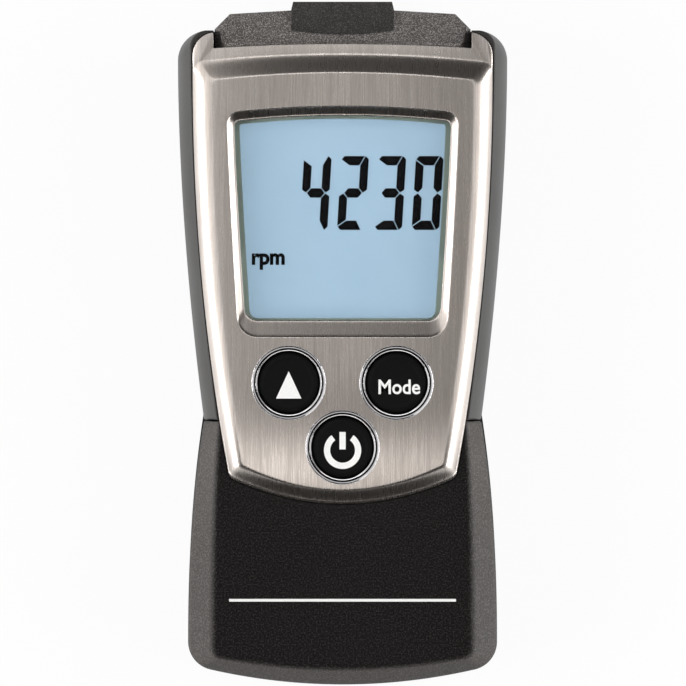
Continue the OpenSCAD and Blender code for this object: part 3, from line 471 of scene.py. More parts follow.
# %% Worn edges
# Pointiness is high on outward corners. A noise breaks the worn line up, as fingers do.
wear_group, given, out = new_group(
    "Worn edges", {"Reach": ("Float", 0.06), "Amount": ("Float", 0.5)}, {"Mask": "Float"})
point = node(wear_group, "ShaderNodeNewGeometry").outputs["Pointiness"]
edge = stretch_range(wear_group, point, 0.51, maths(wear_group, "ADD", given["Reach"], 0.5))
rub = noise(wear_group, object_place(wear_group), 900.0, 3.0, 0.7)
broken = maths(wear_group, "MULTIPLY", edge, stretch_range(wear_group, rub, 0.35, 0.6))
hand_over(wear_group, out, Mask=maths(wear_group, "MULTIPLY", broken, given["Amount"]))

# %% Slow drift
# The tool that cut a mould, and the hands that held the part, leave broad patches that are a little
# rougher or smoother than the rest.
drift_group, given, out = new_group(
    "Slow drift", {"Patches per metre": ("Float", 60.0), "Low": ("Float", 0.3), "High": ("Float", 0.5)},
    {"Value": "Float"})
patch = noise(drift_group, object_place(drift_group), given["Patches per metre"], 2.0, 0.5)
hand_over(drift_group, out, Value=stretch_range(drift_group, patch, 0.3, 0.7, given["Low"], given["High"]))

# %% [markdown]
# ## Finishes
#
# Every finish starts from one Principled shader. Plastics differ in the colour and number of their
# flecks, metals in their lines, prints in how solid the ink is. Numbers that are the same all over a
# surface are set on the shader's own sockets.


# %% A finish under construction
class Finish:
    """A material with its tree, its shader and ways to feed it."""

    def __init__(self, name, **sockets):
        self.material = bpy.data.materials.new(name)
        self.material.use_nodes = True
        self.tree = self.material.node_tree
        self.shader = self.tree.nodes["Principled BSDF"]
        for key, value in sockets.items():
            self.shader.inputs[key.replace("_", " ")].default_value = value

    def group(self, group, **inputs):
        made = node(self.tree, "ShaderNodeGroup", {"node_tree": group})
        for key, value in inputs.items():
            made.inputs[key.replace("_", " ")].default_value = value
        return made.outputs

    def feed(self, socket, value):
        self.tree.links.new(value, self.shader.inputs[socket])

    def drift(self, low, high, patches=60.0):
        return self.group(drift_group, Patches_per_metre=patches, Low=low, High=high)["Value"]

    def raise_by(self, height, depth):
        self.feed("Normal", node(self.tree, "ShaderNodeBump", Distance=depth, Height=height).outputs[0])

    def mix_over(self, shader, share):
        """Lets another shader take over from the main one, by a share."""
        mix = node(self.tree, "ShaderNodeMixShader", i0=share, i1=self.shader.outputs[0],
                   i2=shader.outputs[0])
        self.tree.links.new(mix.outputs[0], self.tree.nodes["Material Output"].inputs["Surface"])


# %% Plastic, steel, bright metal and clear stock
def moulded(name, plastic, fleck, flecks=0.5, grains=2600.0, depth=2e-5, rough=(0.5, 0.62), shine=0.3,
            wear=0.3, flank_sheen=None):
    """Injection moulded plastic with a spark eroded grain. Sloped flanks can take paler colours, a painted
    sheen for the light they catch.
    """
    f = Finish(name, Specular_IOR_Level=shine)
    grain = f.group(grain_group, Grains_per_metre=grains, Plastic=plastic, Fleck=fleck, Flecks=flecks)
    worn = f.group(wear_group, Amount=wear)["Mask"]
    colour = grain["Colour"]
    # Painted sheen: the paler flank colours stand in for the light that sloped flanks catch.
    if flank_sheen:
        sheen_colour = f.group(grain_group, Grains_per_metre=grains, Plastic=flank_sheen[0], Fleck=flank_sheen[1],
                       Flecks=flecks)
        colour = mixed(f.tree, f.group(sheen_slope_group)["Mask"], colour, sheen_colour["Colour"])
    f.feed("Base Color", mixed(f.tree, worn, colour, fleck))
    f.feed("Roughness", f.drift(*rough))
    f.raise_by(grain["Height"], depth)
    return f.material


def brushed(name, dark, light, lines=4200.0, draw=0.02, rough=(0.24, 0.36), depth=6e-6, streaks=0.4):
    """Sheet metal brushed along Y, pressed to a soft cushion."""
    f = Finish(name, Metallic=1.0)
    brush = f.group(brush_group, Lines_per_metre=lines, Draw=draw, Streak_share=streaks)
    f.feed("Base Color", mixed(f.tree, brush["Shade"], dark, light))
    f.feed("Roughness", stretch_range(f.tree, brush["Shade"], 0.0, 1.0, rough[1], rough[0]))
    lines_height = maths(f.tree, "MULTIPLY", brush["Height"], depth)
    crown_height = f.group(cushion_group)["Height"]
    f.raise_by(maths(f.tree, "ADD", lines_height, crown_height), 1.0)
    return f.material


def bright_metal(name, dark, light, rough=(0.12, 0.25), patches=300.0, depth=2e-6):
    """Plain, plated or drawn metal with slightly uneven polish."""
    f = Finish(name, Metallic=1.0)
    worn = f.group(wear_group, Amount=0.5)["Mask"]
    light_share = maths(f.tree, "MAXIMUM", f.drift(0.0, 1.0, patches), worn)
    f.feed("Base Color", mixed(f.tree, light_share, dark, light))
    f.feed("Roughness", f.drift(*rough, patches * 3))
    f.raise_by(f.group(grain_group, Grains_per_metre=4000.0)["Height"], depth)
    return f.material


def clear(name, tint, rough=0.03, index=1.45, shine=0.5):
    """Clear plastic or glass. Shadow rays pass it, so that what lies behind stays lit."""
    f = Finish(name, Transmission_Weight=1.0, IOR=index, Specular_IOR_Level=shine)
    f.feed("Base Color", mixed(f.tree, f.drift(0.0, 1.0, 120.0), tint, (1, 1, 1, 1)))
    f.feed("Roughness", f.drift(rough * 0.5, rough, 500.0))
    f.mix_over(node(f.tree, "ShaderNodeBsdfTransparent"),
               node(f.tree, "ShaderNodeLightPath").outputs["Is Shadow Ray"])
    return f.material


# %% Finishes of the outside
# The grip's paler flank colours are a painted sheen for the side light on its facets.
face_plastic = moulded("Grip plastic", tone(8, 7, 7), tone(48, 45, 44), 0.8, 4300.0, 5e-5, (0.4, 0.48),
                       0.12, 0.1, flank_sheen=(tone(66, 63, 61), tone(98, 94, 92)))
wing_plastic = moulded("Housing plastic", tone(38, 37, 36), tone(60, 58, 56), 0.5, 5200.0, 2e-5,
                       (0.42, 0.5), 0.3, 0.1)
head_plastic = moulded("Head plastic", tone(64, 61, 59), tone(164, 158, 155), 0.9, 6400.0, 9e-5,
                       (0.4, 0.5), 0.35, 0.15)
key_plastic = moulded("Key plastic", tone(9, 9, 9), tone(20, 19, 19), 0.6, 6000.0, 1.5e-5, (0.45, 0.55),
                      0.1, 0.1)
cover_plastic = moulded("Cover plastic", tone(34, 33, 33), tone(66, 64, 63), 0.6)
plate_steel = brushed("Brushed steel", tone(180, 172, 166), tone(222, 214, 208), 7500.0, 0.03,
                      (0.25, 0.31), 6e-7, 0.35)
ring_chrome = bright_metal("Ring chrome", tone(225, 225, 228), tone(240, 240, 242), (0.04, 0.09), 400.0,
                           1e-7)
legend_white = moulded("Legend white", tone(240, 240, 238), tone(255, 255, 255), 0.4, 3000.0, 3e-6,
                       (0.4, 0.5), wear=0.0)
print("finishes of the outside: 8")


# %% A darker nose
# The sensor head is one moulding. Only its nose is polished darker, so the region mask dims the base
# colour there.
def darken_region(material, share):
    tree = material.node_tree
    shader = tree.nodes["Principled BSDF"]
    colour = shader.inputs["Base Color"].links[0].from_socket
    mask = node(tree, "ShaderNodeGroup", {"node_tree": region_group}).outputs["Mask"]
    dark = node(tree, "ShaderNodeMix", {"data_type": "RGBA", "blend_type": "MULTIPLY"},
                i0=mask, i6=colour, i7=(share, share, share, 1))
    tree.links.new(dark.outputs[2], shader.inputs["Base Color"])


darken_region(head_plastic, 0.2)
print("nose darkened on:", head_plastic.name)

# %% Finishes of the display
window_clear = clear("Window clear", (0.97, 0.98, 0.98, 1), 0.02, 1.12, 0.3)
lens_clear = clear("Lens clear", (0.97, 0.95, 0.95, 1))
red_clear = clear("Sensor red", tone(120, 10, 16), 0.2, 1.45, 0.3)


def lit_panel(name, light, edge_light, glow):
    """A display cell lit from behind. The light is a little uneven, as a light guide always is."""
    f = Finish(name, Roughness=0.35, Specular_IOR_Level=0.1, Emission_Strength=glow)
    colour = mixed(f.tree, f.drift(0.0, 1.0, 45.0), light, edge_light)
    f.feed("Base Color", mixed(f.tree, 0.72, colour, (0, 0, 0, 1)))
    f.feed("Emission Color", colour)
    f.raise_by(f.group(grain_group, Grains_per_metre=5000.0)["Height"], 2e-6)
    return f.material


def printed(name, ink, thin_ink, rough=(0.35, 0.5), shine=0.12):
    """Ink or print: solid, with a little less ink here and there."""
    f = Finish(name, Specular_IOR_Level=shine)
    grain = f.group(grain_group, Grains_per_metre=6000.0, Plastic=ink, Fleck=thin_ink, Flecks=0.35)
    f.feed("Base Color", grain["Colour"])
    f.feed("Roughness", f.drift(*rough, 200.0))
    return f.material


lcd_blue = lit_panel("Display glass", tone(158, 186, 207), tone(161, 189, 210), 0.62)
lcd_ink = printed("Display ink", tone(4, 4, 5), tone(9, 9, 12), shine=0.02)
tape_grey = printed("Tape grey", tone(182, 195, 187), tone(198, 209, 202))
line_white = printed("Print white", tone(232, 232, 230), tone(214, 214, 212))
print("display finishes ready")

# %% [markdown]
# ## The steel plate
#
# On the real instrument the plate is one pressed sheet: a flat rim, a bevel that rises to a cushioned
# face, a funnel that leads down to the display, and two ears beside the sensor head. A press leaves every
# bend round, and those round bends are what catches the light. So the plate is drawn as one continuous
# skin of rings, from its under edge over the rim, up the bevel, across the face, down the funnel and back
# underneath, with extra rings where a bend is. The flat face with its three key holes is a Delaunay fill.

# %% Rings of the plate's rim and ears
EDGE_N, CORNER_N, SIDE_N = 20, 16, 40
EAR_TOP, EAR_R, NOTCH_HALF, NOTCH_FOOT, NOTCH_RISE = 43.3, 3.2, 18, 41.1, 0.6


def plate_ring(s):
    return ring(s, EDGE_N, CORNER_N, SIDE_N)


def plate_line(s, by, z):
    """A ring of the plate at height z, from an outline grown all round by a distance."""
    return at_height(plate_ring(grow(list(s), by, by, by)), z)


def eared_ring(s):
    """The plate's outer line: up the side, round an ear, down beside the nose and along the notch."""
    foot_edge, foot_corner, side, top_corner, top_edge = right_half(s, EDGE_N, CORNER_N, SIDE_N)
    half = s[0]
    low = EAR_TOP - EAR_R
    ear_end = math.acos((NOTCH_HALF - half + EAR_R) / EAR_R) * 0.97
    arc_n = CORNER_N - 5
    ear = [top_corner[0]] + [(half - EAR_R + EAR_R * math.cos(a), low + EAR_R * math.sin(a))
                             for a in np.linspace(0, ear_end, arc_n)]
    head = ear[-1][1]
    ear += [(NOTCH_HALF, head - 0.12)]
    ear += [(NOTCH_HALF, y) for y in np.linspace(head - 0.7, NOTCH_FOOT + 0.1, 4)]
    ear = ear[:CORNER_N + 1]
    notch = [(NOTCH_HALF * k, NOTCH_FOOT + NOTCH_RISE * (1 - k * k)) for k in
             0.995 * (1 - np.arange(1, EDGE_N + 1) / EDGE_N) / (1 - 1 / EDGE_N)]
    return mirrored(foot_edge + foot_corner + side + ear + notch)


outer = eared_ring(PLATE)
print("points in the plate's rings:", len(outer), len(plate_ring(PLATE)))

# %% Rings of the bevel and the funnel
# The side bevel is a parabola of the height. Its upper and lower ends follow a line with two bends.
END_BENDS = [(0, 0), (0.1, 0.03), (0.32, 0.22), (0.88, 0.88), (1, 0.985), (1.06, 1)]
RISES = [0, 0.01, 0.04, 0.1, 0.18, 0.28, 0.38, 0.48, 0.58, 0.68, 0.77, 0.85, 0.91, 0.95, 0.975, 0.99, 0.998]
FUNNEL_BEND, FUNNEL_DEPTH = 0.1, 0.82
end_line = np.array(smooth_line(END_BENDS, 6))
base = np.array(grow(PLATE, -0.12, -0.12, -0.12), float)
crown = np.array(CROWN, float)
over_rings = [at_height(outer, RIM_Z - SHEET), at_height(outer, RIM_Z - 0.22),
              at_height(inset(outer, 0.02), RIM_Z - 0.16), at_height(inset(outer, 0.06), RIM_Z - 0.13)]
for rise in RISES:
    k_end = np.interp(rise, end_line[:, 1], end_line[:, 0])
    k_side = 1.04 * (1 - math.sqrt(1 - rise))
    shape = base + (crown - base) * k_side
    shape[2:4] = (base + (crown - base) * k_end)[2:4]
    over_rings.append(at_height(plate_ring(list(shape)), RIM_Z + (PLATE_Z - RIM_Z) * rise))
over_rings += [plate_line(CROWN, -by, PLATE_Z) for by in (0.2, 0.4)]
recess = np.array(grow(GLASS, 1, 1.35, 2.3), float)
land = np.array(grow(GLASS, 0.2, 0.3, 0.25), float)
funnel_rings = [plate_line(recess, by, PLATE_Z - fall)
                for by, fall in ((0.2, 0.0), (0.1, 0.008), (0.02, 0.04), (-0.05, FUNNEL_BEND))]
for t in np.linspace(0.1, 1, 10):
    shape = list(recess + (land - recess) * t)
    funnel_rings.append(at_height(plate_ring(shape), PLATE_Z - FUNNEL_BEND - FUNNEL_DEPTH * t))
for by, fall in ((0.14, 0.955), (0.06, 0.975), (0.01, 1.03)):
    funnel_rings.append(at_height(plate_ring(grow(GLASS, by, by * 1.4, by)), PLATE_Z - fall))
funnel_rings.append(plate_line(GLASS, 0, GLASS_Z + 0.06))
print("rings over the plate:", len(over_rings) + len(funnel_rings))

# %% Fill the face, turn the sheet under and settle the plate
HOLE_R = 4.9
holes = [circle(place, HOLE_R) for place in KEYS.values()]
under_rings = [plate_line(GLASS, 0.7, GLASS_Z + 0.1), plate_line(recess, 0.5, PLATE_Z - SHEET)]
back_rings = [plate_line(CROWN, -0.45, PLATE_Z - SHEET), plate_line(PLATE, -0.7, RIM_Z - 0.58),
              at_height(inset(outer, 0.03), RIM_Z - SHEET)]


def plan(line):
    """The (x, y) of a ring, for a flat fill."""
    return np.array(line)[:, :2]


draft = Draft()
draft.loft(over_rings)
draft.fill(plan(over_rings[-1]), [plan(funnel_rings[0])] + holes, PLATE_Z)
draft.loft(funnel_rings)
draft.loft([funnel_rings[-1]] + under_rings)
draft.fill(plan(back_rings[0]), [plan(under_rings[-1])] + holes, PLATE_Z - SHEET, up=False)
draft.loft(back_rings)
draft.loft([back_rings[-1], over_rings[0]])
for hole in holes:
    draft.loft([at_height(hole, PLATE_Z - SHEET), at_height(hole, PLATE_Z)])
settle(place_mesh("steel_plate", draft.mesh("steel_plate")), "case", ["face_plate"],
       plate_steel, sharp=40, weld=2e-3)

# %% [markdown]
# ## The grip's front shell
#
# The lower half of the front is a black shell whose side facets fall away at about fifty degrees. Its
# edges are soft, because a mould is never dead sharp. The shell is lofted as a solid with rounded
# edges, then hollowed, and given the deck that carries keys and display under the plate.


# %% Loft the grip
def rounded_steps(points, bend_at, reach, n=6):
    """Replaces one corner of a line of (share, height, inset) by a quadratic bend."""
    p = np.array(points, float)
    before, corner, after = p[bend_at - 1], p[bend_at], p[bend_at + 1]
    a = corner + (before - corner) * reach[0]
    b = corner + (after - corner) * reach[1]
    bend = [(1 - t) ** 2 * a + 2 * t * (1 - t) * corner + t * t * b for t in np.linspace(0, 1, n + 1)]
    return [tuple(q) for q in p[:bend_at]] + [tuple(q) for q in bend] + [tuple(q) for q in p[bend_at + 1:]]


wide, narrow = np.array(GRIP, float), np.array(GRIP_FACE, float)
SOFT = 0.14
steps = [(0, PARTING_Z, SOFT), (0, PARTING_Z + SOFT, 0), (0, FACET_Z, 0), (1, FACE_Z, 0), (1, FACE_Z, 1.2)]
steps = rounded_steps(steps, 3, (0.2, 0.55))
steps = rounded_steps(steps, 2, (0.12, 0.14))
grip_rings = []
for k, z, by in steps:
    shape = list(wide + (narrow - wide) * k)
    grip_rings.append(at_height(ring(grow(shape, -by, 0, -by), 14, 12, 30), z))
grip = body_of_rings("grip_front", grip_rings)


def grip_cavity(shrink, low, top, lap):
    outer_line = ring(grow(GRIP, -shrink, lap, -shrink))
    inner_line = ring(grow(GRIP_FACE, -shrink, lap, -shrink))
    return body_of_rings("cavity", [at_height(outer_line, low), at_height(outer_line, FACET_Z),
                                    at_height(inner_line, top)])


combine(grip, [grip_cavity(WALL, PARTING_Z - 1, FACE_Z - WALL, 6),
               slab("pocket", grow(PLATE, FIT, 0, FIT), SEAT_Z, ABOVE)], "DIFFERENCE")
print("grip:", len(grip.data.polygons), "faces")

# %% Deck, posts and openings of the front shell
SCREWS = [(s * 15.6, 36.4) for s in (-1, 1)] + [(s * 16.6, -33.6) for s in (-1, 1)]
BOARD_SCREWS = [(s * 14.2, -15) for s in (-1, 1)]
POST_R, POST_FOOT, THREAD_R, THREAD_END = 2.3, 8.45, 1.03, 15.05
STUD_R, BOARD_TOP, STUD_THREAD_R, STUD_THREAD_END = 1.5, 16.9, 0.73, 19.7
GUIDE_R, FLANGE_ROOM, FLANGE_TOP, NECK_L = 4.5, 5.2, 0.95, 1.45
deck_line = grow(PLATE, -1.3, -0.7, -1.3)
deck = slab("deck", deck_line, DECK_Z, SEAT_Z - 0.05)
pad = body_of_rings("pad", [at_height(ring(deck_line), SEAT_Z - SHEET),
                            at_height(ring(grow(CROWN, -0.1, -0.1, -0.1)), PLATE_Z - 0.65)])
posts = [rod("post", p, POST_R, POST_FOOT, DECK_Z + 0.4) for p in SCREWS]
posts += [rod("stud", p, STUD_R, BOARD_TOP, DECK_Z + 0.4) for p in BOARD_SCREWS]
combine(grip, [deck, pad] + posts, "UNION")
cuts = [slab("view", grow(GLASS, -0.75, -0.4, -0.3), DECK_Z - 1, LEDGE_Z + 1),
        slab("ledge", grow(GLASS, 1.15, 1.15, 1.15), LEDGE_Z, PLATE_Z),
        slab("mouth", grow(GLASS, 1.75, 2.1, 3.05), GLASS_Z, PLATE_Z)]
for place in KEYS.values():
    cuts += [rod("guide", place, GUIDE_R, DECK_Z - 1, PLATE_Z),
             rod("flange", place, FLANGE_ROOM, DECK_Z - 1, DECK_Z + FLANGE_TOP),
             rod("neck", place, HOLE_R, PLATE_Z - NECK_L, PLATE_Z)]
cuts += [rod("thread", p, THREAD_R, 0, THREAD_END) for p in SCREWS]
cuts += [rod("thread", p, STUD_THREAD_R, 0, STUD_THREAD_END) for p in BOARD_SCREWS]
combine(grip, cuts, "DIFFERENCE")
settle(grip, "case", ["front_housing"], face_plastic)

# %% [markdown]
# ## The rear shell
#
# The rear shell is a tub. Its upper part rises past the parting line as two wings that lean in beside
# the steel plate, which is why they show as dark strips in the photograph. It is lofted with a fully
# round back edge, then cut for the battery bay, the cover's channel, the screws and the sensor head.


# %% Loft the tub and the wings
BACK_ROUND = 2.2
WING_LEAN, WING_ROLL = 1.65, 0.35


def back_skin(name, s, shrink, top_z, lean, roll=0.0):
    """A tub with a round back edge. With a lean, its sides come in above the parting line and roll over."""
    def line(side, top, foot, z):
        return at_height(ring(grow(s, side, top, foot), 14, 12, 30), z)

    rings = []
    for a in np.linspace(0, math.pi / 2, 9):
        d = -shrink - BACK_ROUND * (1 - math.sin(a))
        rings.append(line(d, d if lean else 0, 0 if lean else d, shrink + BACK_ROUND * (1 - math.cos(a))))
    if not lean:
        return body_of_rings(name, rings + [line(-shrink, 0, -shrink, top_z)])
    for k in np.linspace(0, 1, 9):
        rings.append(line(-shrink - lean * k * k, -shrink, 0, PARTING_Z + (top_z - roll - PARTING_Z) * k))
    for t in np.linspace(0.25, 1, 4) if roll else ():
        by = shrink + lean + roll * (1 - math.cos(t * math.pi / 2))
        rings.append(line(-by, -shrink - by + lean, 0, top_z - roll + roll * math.sin(t * math.pi / 2)))
    return body_of_rings(name, rings)


lower_tub = grow(GRIP, 0, 1.6, 0)
tub = back_skin("rear_shell", WINGS, 0, FACE_Z, WING_LEAN, WING_ROLL)
combine(tub, [back_skin("tub", lower_tub, 0, PARTING_Z, 0)], "UNION")
hollow = back_skin("hollow", grow(WINGS, 0, 0, 6), WALL, FACE_Z + 1, WING_LEAN)
low_hollow = combine(back_skin("low", grow(GRIP, 0, 6, 0), WALL, PARTING_Z + 1, 0),
                     [block("bound", (-30, BOTTOM, 0), (30, SEAM_Y + 1, 25))], "INTERSECT")
combine(hollow, [low_hollow], "UNION")
BAY_TOP, FLOOR_TOP, BOSS_R, BOSS_TOP, REST_R, REST_TOP = 8.9, 2.8, 2.6, 8.4, 1.4, 15.6
kept = [block("floor", (-14.8, BOTTOM - 1, -1), (14.8, BAY_TOP, FLOOR_TOP))]
kept += [rod("boss", p, BOSS_R, -1, BOSS_TOP) for p in SCREWS]
kept += [rod("rest", (s * 12, 29.6), REST_R, -1, REST_TOP) for s in (-1, 1)]
combine(hollow, kept, "DIFFERENCE")
combine(tub, [hollow], "DIFFERENCE")
print("rear shell:", len(tub.data.polygons), "faces")

# %% Bay, channel, screw holes and bare panel of the back
BAY_HALF, COVER_T, COVER_HALF, COVER_L, RAIL_HALF = 11.85, 1.8, 13, 55.5, 13.8
combine(tub, [block("bay", (-BAY_HALF, -45.5, COVER_T), (BAY_HALF, 4.4, PARTING_Z)),
              block("roof", (-BAY_HALF, -44.8, COVER_T), (BAY_HALF, 4.4, PARTING_Z + 1))], "UNION")


def square_end(s, top, r):
    """An outline whose upper end is carried on to a square end with round corners."""
    foot_edge, foot_corner, side, top_corner, _ = right_half(s, 14, 12, 30)
    arc = [(s[0] - r + r * math.cos(a), top - r + r * math.sin(a)) for a in np.linspace(0, math.pi / 2, 10)]
    return mirrored(foot_edge + foot_corner + side + top_corner[:1] + arc)


seat = square_end(grow(PLATE, FIT, 0, FIT), EAR_TOP + FIT, EAR_R + FIT)
room_half, room_end = COVER_HALF + FIT, BOTTOM + COVER_L + FIT
cuts = [block("head", (-NOTCH_HALF, 41, 3.45), (NOTCH_HALF, 45, ABOVE)),
        body_of_rings("seat", [at_height(seat, SEAT_Z), at_height(seat, ABOVE)]),
        block("channel", (-room_half, BOTTOM - 1, -1), (room_half, room_end, COVER_T + FIT)),
        block("rail", (-RAIL_HALF - FIT, BOTTOM - 1, 0.6), (RAIL_HALF + FIT, room_end, 1.7)),
        block("cells", (-10.85, -44.5, 0.9), (10.85, 3.4, PARTING_Z)),
        block("panel", (-13.5, 14.6, -1), (13.5, 34.6, 0.3))]
for p in SCREWS:
    cuts += [rod("head room", p, 2.05, -1, 3), rod("shank room", p, 1.15, -1, 9.4)]
combine(tub, cuts, "DIFFERENCE")
settle(tub, "case", ["rear_housing"], wing_plastic)

# %% [markdown]
# ## The battery cover
#
# The cover slides off the bottom end. It closes the channel in the back, runs on two rails, and has a
# patch of thumb grooves. It is cut from the same rounded tub as the shell, so that its lower end
# follows the body's curve.

# %% Cut the cover from the tub
GROOVES, GROOVE_STEP, GROOVE_FIRST, GROOVE_HALF, GROOVE_W = 5, 1.6, 4, 4.5, 0.4
cover = back_skin("cover", grow(GRIP, 0, COVER_L, 0), 0, PARTING_Z, 0)
strip = block("plate", (-COVER_HALF, BOTTOM - 1, -1), (COVER_HALF, BOTTOM + COVER_L, COVER_T))
combine(strip, [block("rails", (-RAIL_HALF, BOTTOM - 1, 0.75), (RAIL_HALF, BOTTOM + COVER_L, 1.55))],
        "UNION")
combine(cover, [strip], "INTERSECT")
grooves = []
for i in range(GROOVES):
    y = BOTTOM + COVER_L - GROOVE_FIRST - GROOVE_STEP * i - GROOVE_W
    lines = []
    for half, deep in ((GROOVE_HALF, -0.4), (GROOVE_HALF, 0.05), (4.32, 0.28), (4.0, 0.4)):
        width = GROOVE_W * half / GROOVE_HALF - (0.12 if deep > 0.2 else 0)
        lines.append(at_height([(-half, y - width), (half, y - width), (half, y + width), (-half, y + width)],
                               deep))
    grooves.append(body_of_rings("groove", lines))
combine(cover, grooves, "DIFFERENCE")
settle(cover, "cover", ["battery_cover"], cover_plastic)

# %% [markdown]
# ## The sensor head's apron
#
# The head's shoulders run on under the curved notch of the steel plate, so no gap shows there. The apron
# is that run: a short bar with the same sloped ends as the shoulders, just below their top.

# %% Draw the apron
APRON_FOOT, APRON_TOP = 41.02, 41.9
apron_lines = [at_height([(-half, APRON_FOOT), (half, APRON_FOOT), (half, APRON_TOP), (-half, APRON_TOP)], z)
               for half, z in ((17.85, 20.2), (16.35, 22.38))]
settle(body_of_rings("head_apron", apron_lines), "case", [], head_plastic)

# %% [markdown]
# ## Rings and key caps
#
# A chromed ring is turned, so a lathe profile is the honest way to draw it. It has a fine bead along the
# outside, a steep slope inwards that mirrors the black cap, and a round lip at the foot of the slope. The
# bead and the lip gather the whole studio into thin bright lines, as polished chrome always does. A cap
# is turned as well: a wide soft shoulder, a faint rim, and a face that is dished for the finger.

# %% Turn rings and caps
ring_bead = [(5.2, PLATE_Z + 0.02), (5.2, 24.95), (5.19, 24.98), (5.175, RING_TOP), (5.14, 24.992),
             (5.115, 24.965), (5.1, 24.92), (5.09, 24.88)]
ring_slope = [(5.08 - 0.46 * t, 24.86 - 0.74 * t) for t in np.linspace(0, 1, 8)]
ring_lip = [(4.6, 24.095), (4.57, 24.08), (4.52, 24.075), (4.45, 24.06), (4.4, 24.02), (4.365, 23.95)]
ring_back = [(4.35, 23.85), (4.35, 23.3), (4.85, 23.3), (4.85, PLATE_Z + 0.02), (5.2, PLATE_Z + 0.02)]
cap_foot = [(0, 20.85), (4.92, 20.85), (5, 20.93), (5, 21.47), (4.92, 21.55), (4.22, 21.55)]
cap_top = [(4.22 - 0.62 * (1 - math.cos(a)), CAP_Z - 0.62 + 0.58 * math.sin(a))
           for a in np.linspace(0, math.pi / 2, 9)]
cap_dish = [(3.56, CAP_Z - 0.015), (3.52, CAP_Z), (3.47, CAP_Z - 0.01)]
cap_dish += [(r, CAP_Z - 0.04 - 0.03 * (1 - (r / 3.4) ** 2)) for r in (3.4, 2.8, 2.2, 1.2, 0.5)]
for name, place in KEYS.items():
    draft = Draft()
    lathe(draft, place, ring_bead + ring_slope + ring_lip + ring_back)
    settle(place_mesh(f"chrome_ring_{name}", draft.mesh("ring")), "case", [f"ring_{name}"],
           ring_chrome, sharp=50)
    draft = Draft()
    lathe(draft, place, cap_foot + cap_top + cap_dish + [(0, CAP_Z - 0.07)])
    settle(place_mesh(f"cap_{name}", draft.mesh("cap")), f"key_{name}", [f"key_cap_{name}"],
           key_plastic, sharp=50)

# %% [markdown]
# ## Lettering
#
# The display shows its unit, the middle key says what it does, and a fine printed line runs across the
# grip. Words are font curves turned into meshes a few hundredths of a millimetre thick.


# %% Words and the printed line
def word(name, text, width, height, foot_left, z, body, finish, bold=0.0):
    """Text set to a wanted width and cap or letter height, its left foot at a place, turned into a mesh."""
    curve = bpy.data.curves.new(name, "FONT")
    curve.body, curve.size, curve.offset, curve.extrude = text, 1.0, bold, 0.02
    curve.resolution_u = 6
    shape = place_mesh(name + "_line", curve)
    bpy.context.view_layer.update()
    made = bpy.data.meshes.new_from_object(shape.evaluated_get(bpy.context.evaluated_depsgraph_get()))
    bpy.data.objects.remove(shape, do_unlink=True)
    co = np.array([v.co for v in made.vertices])
    low, high = co.min(0), co.max(0)
    foot = 0.0 if "p" in text else low[1]
    scale = (width / (high[0] - low[0]), height / (high[1] - foot), 1)
    co = (co - (low[0], foot, low[2])) * scale + (foot_left[0], foot_left[1], z)
    for v, c in zip(made.vertices, co):
        v.co = c
    piece = place_mesh(name, made)
    return settle(piece, body, [], finish, sharp=30, weld=1e-5)


word("word_mode", "Mode", 5.8, 2.05, (5.0, -7.1), CAP_Z - 0.03, "key_mode", legend_white,
     0.018)
word("word_rpm", "rpm", 4.6, 1.5, (-12.65, 11.05), LCD_Z, "case", lcd_ink, 0.04)
LINE_HALF, LINE_Y, LINE_W = 15.8, -35.8, 0.19
corners = ((-1, -1), (1, -1), (1, 1), (-1, 1))
line_rings = []
for long, wide, up in ((1, 1, -0.03), (1, 1, 0.012), (0.9995, 0.9, 0.02)):
    plan_line = [(sx * LINE_HALF * long, LINE_Y + sy * LINE_W * wide) for sx, sy in corners]
    line_rings.append(at_height(plan_line, FACE_Z + up))
draft = Draft().solid(line_rings)
settle(place_mesh("printed_line", draft.mesh("line")), "case", [], line_white)

# %% [markdown]
# ## Inner pieces
#
# What sits inside the shells is right as it was built, so those solids stay. Each gets its own finish
# and a weld, and the larger ones a small bevel, because even a circuit board has no perfect corners. The
# display, the cells and the optics are seen through the window, the open bay and the nose.

# %% Finishes of the inner pieces
board_green = moulded("Board green", tone(22, 92, 52), tone(52, 128, 82), 0.5, 1500.0, 4e-6, (0.3, 0.45), 0.5)
chip_black = moulded("Chip black", tone(26, 26, 28), tone(58, 58, 60), 0.5, 3000.0, 1e-5, (0.5, 0.6))
white_plastic = moulded("White plastic", tone(226, 226, 220), tone(240, 240, 236), 0.5, 1500.0, 6e-6,
                        (0.4, 0.5))
silicone = moulded("Silicone", tone(196, 197, 190), tone(214, 214, 208), 0.5, 1200.0, 8e-6, (0.55, 0.7))
carbon_rubber = moulded("Carbon rubber", tone(22, 22, 23), tone(44, 44, 46), 0.6, 2600.0, 1e-5, (0.6, 0.75))
ceramic = moulded("Ceramic", tone(176, 146, 108), tone(196, 168, 132), 0.5, 2600.0, 8e-6, (0.4, 0.55))
diode_dark = moulded("Diode dark", tone(28, 24, 34), tone(46, 40, 54), 0.4, 1200.0, 2e-6, (0.1, 0.2), 0.5)
led_red = moulded("Lamp red", tone(176, 36, 32), tone(206, 64, 54), 0.4, 1200.0, 2e-6, (0.12, 0.22), 0.5)
clear_plastic = moulded("Light guide", tone(216, 226, 234), tone(236, 242, 246), 0.4, 900.0, 2e-6,
                        (0.15, 0.25), 0.5)
cell_sleeve = printed("Cell sleeve", tone(52, 74, 104), tone(64, 88, 120), (0.25, 0.4))
tinned = bright_metal("Tinned metal", tone(190, 190, 188), tone(218, 218, 216), (0.22, 0.36))
gold_pads = bright_metal("Gold pads", tone(206, 168, 84), tone(232, 200, 120), (0.18, 0.3))
spring_steel = bright_metal("Spring steel", tone(172, 172, 174), tone(206, 206, 208), (0.15, 0.28))
screw_steel = bright_metal("Screw steel", tone(120, 120, 124), tone(176, 176, 180), (0.2, 0.36))
print("finishes of the inner pieces: 14")

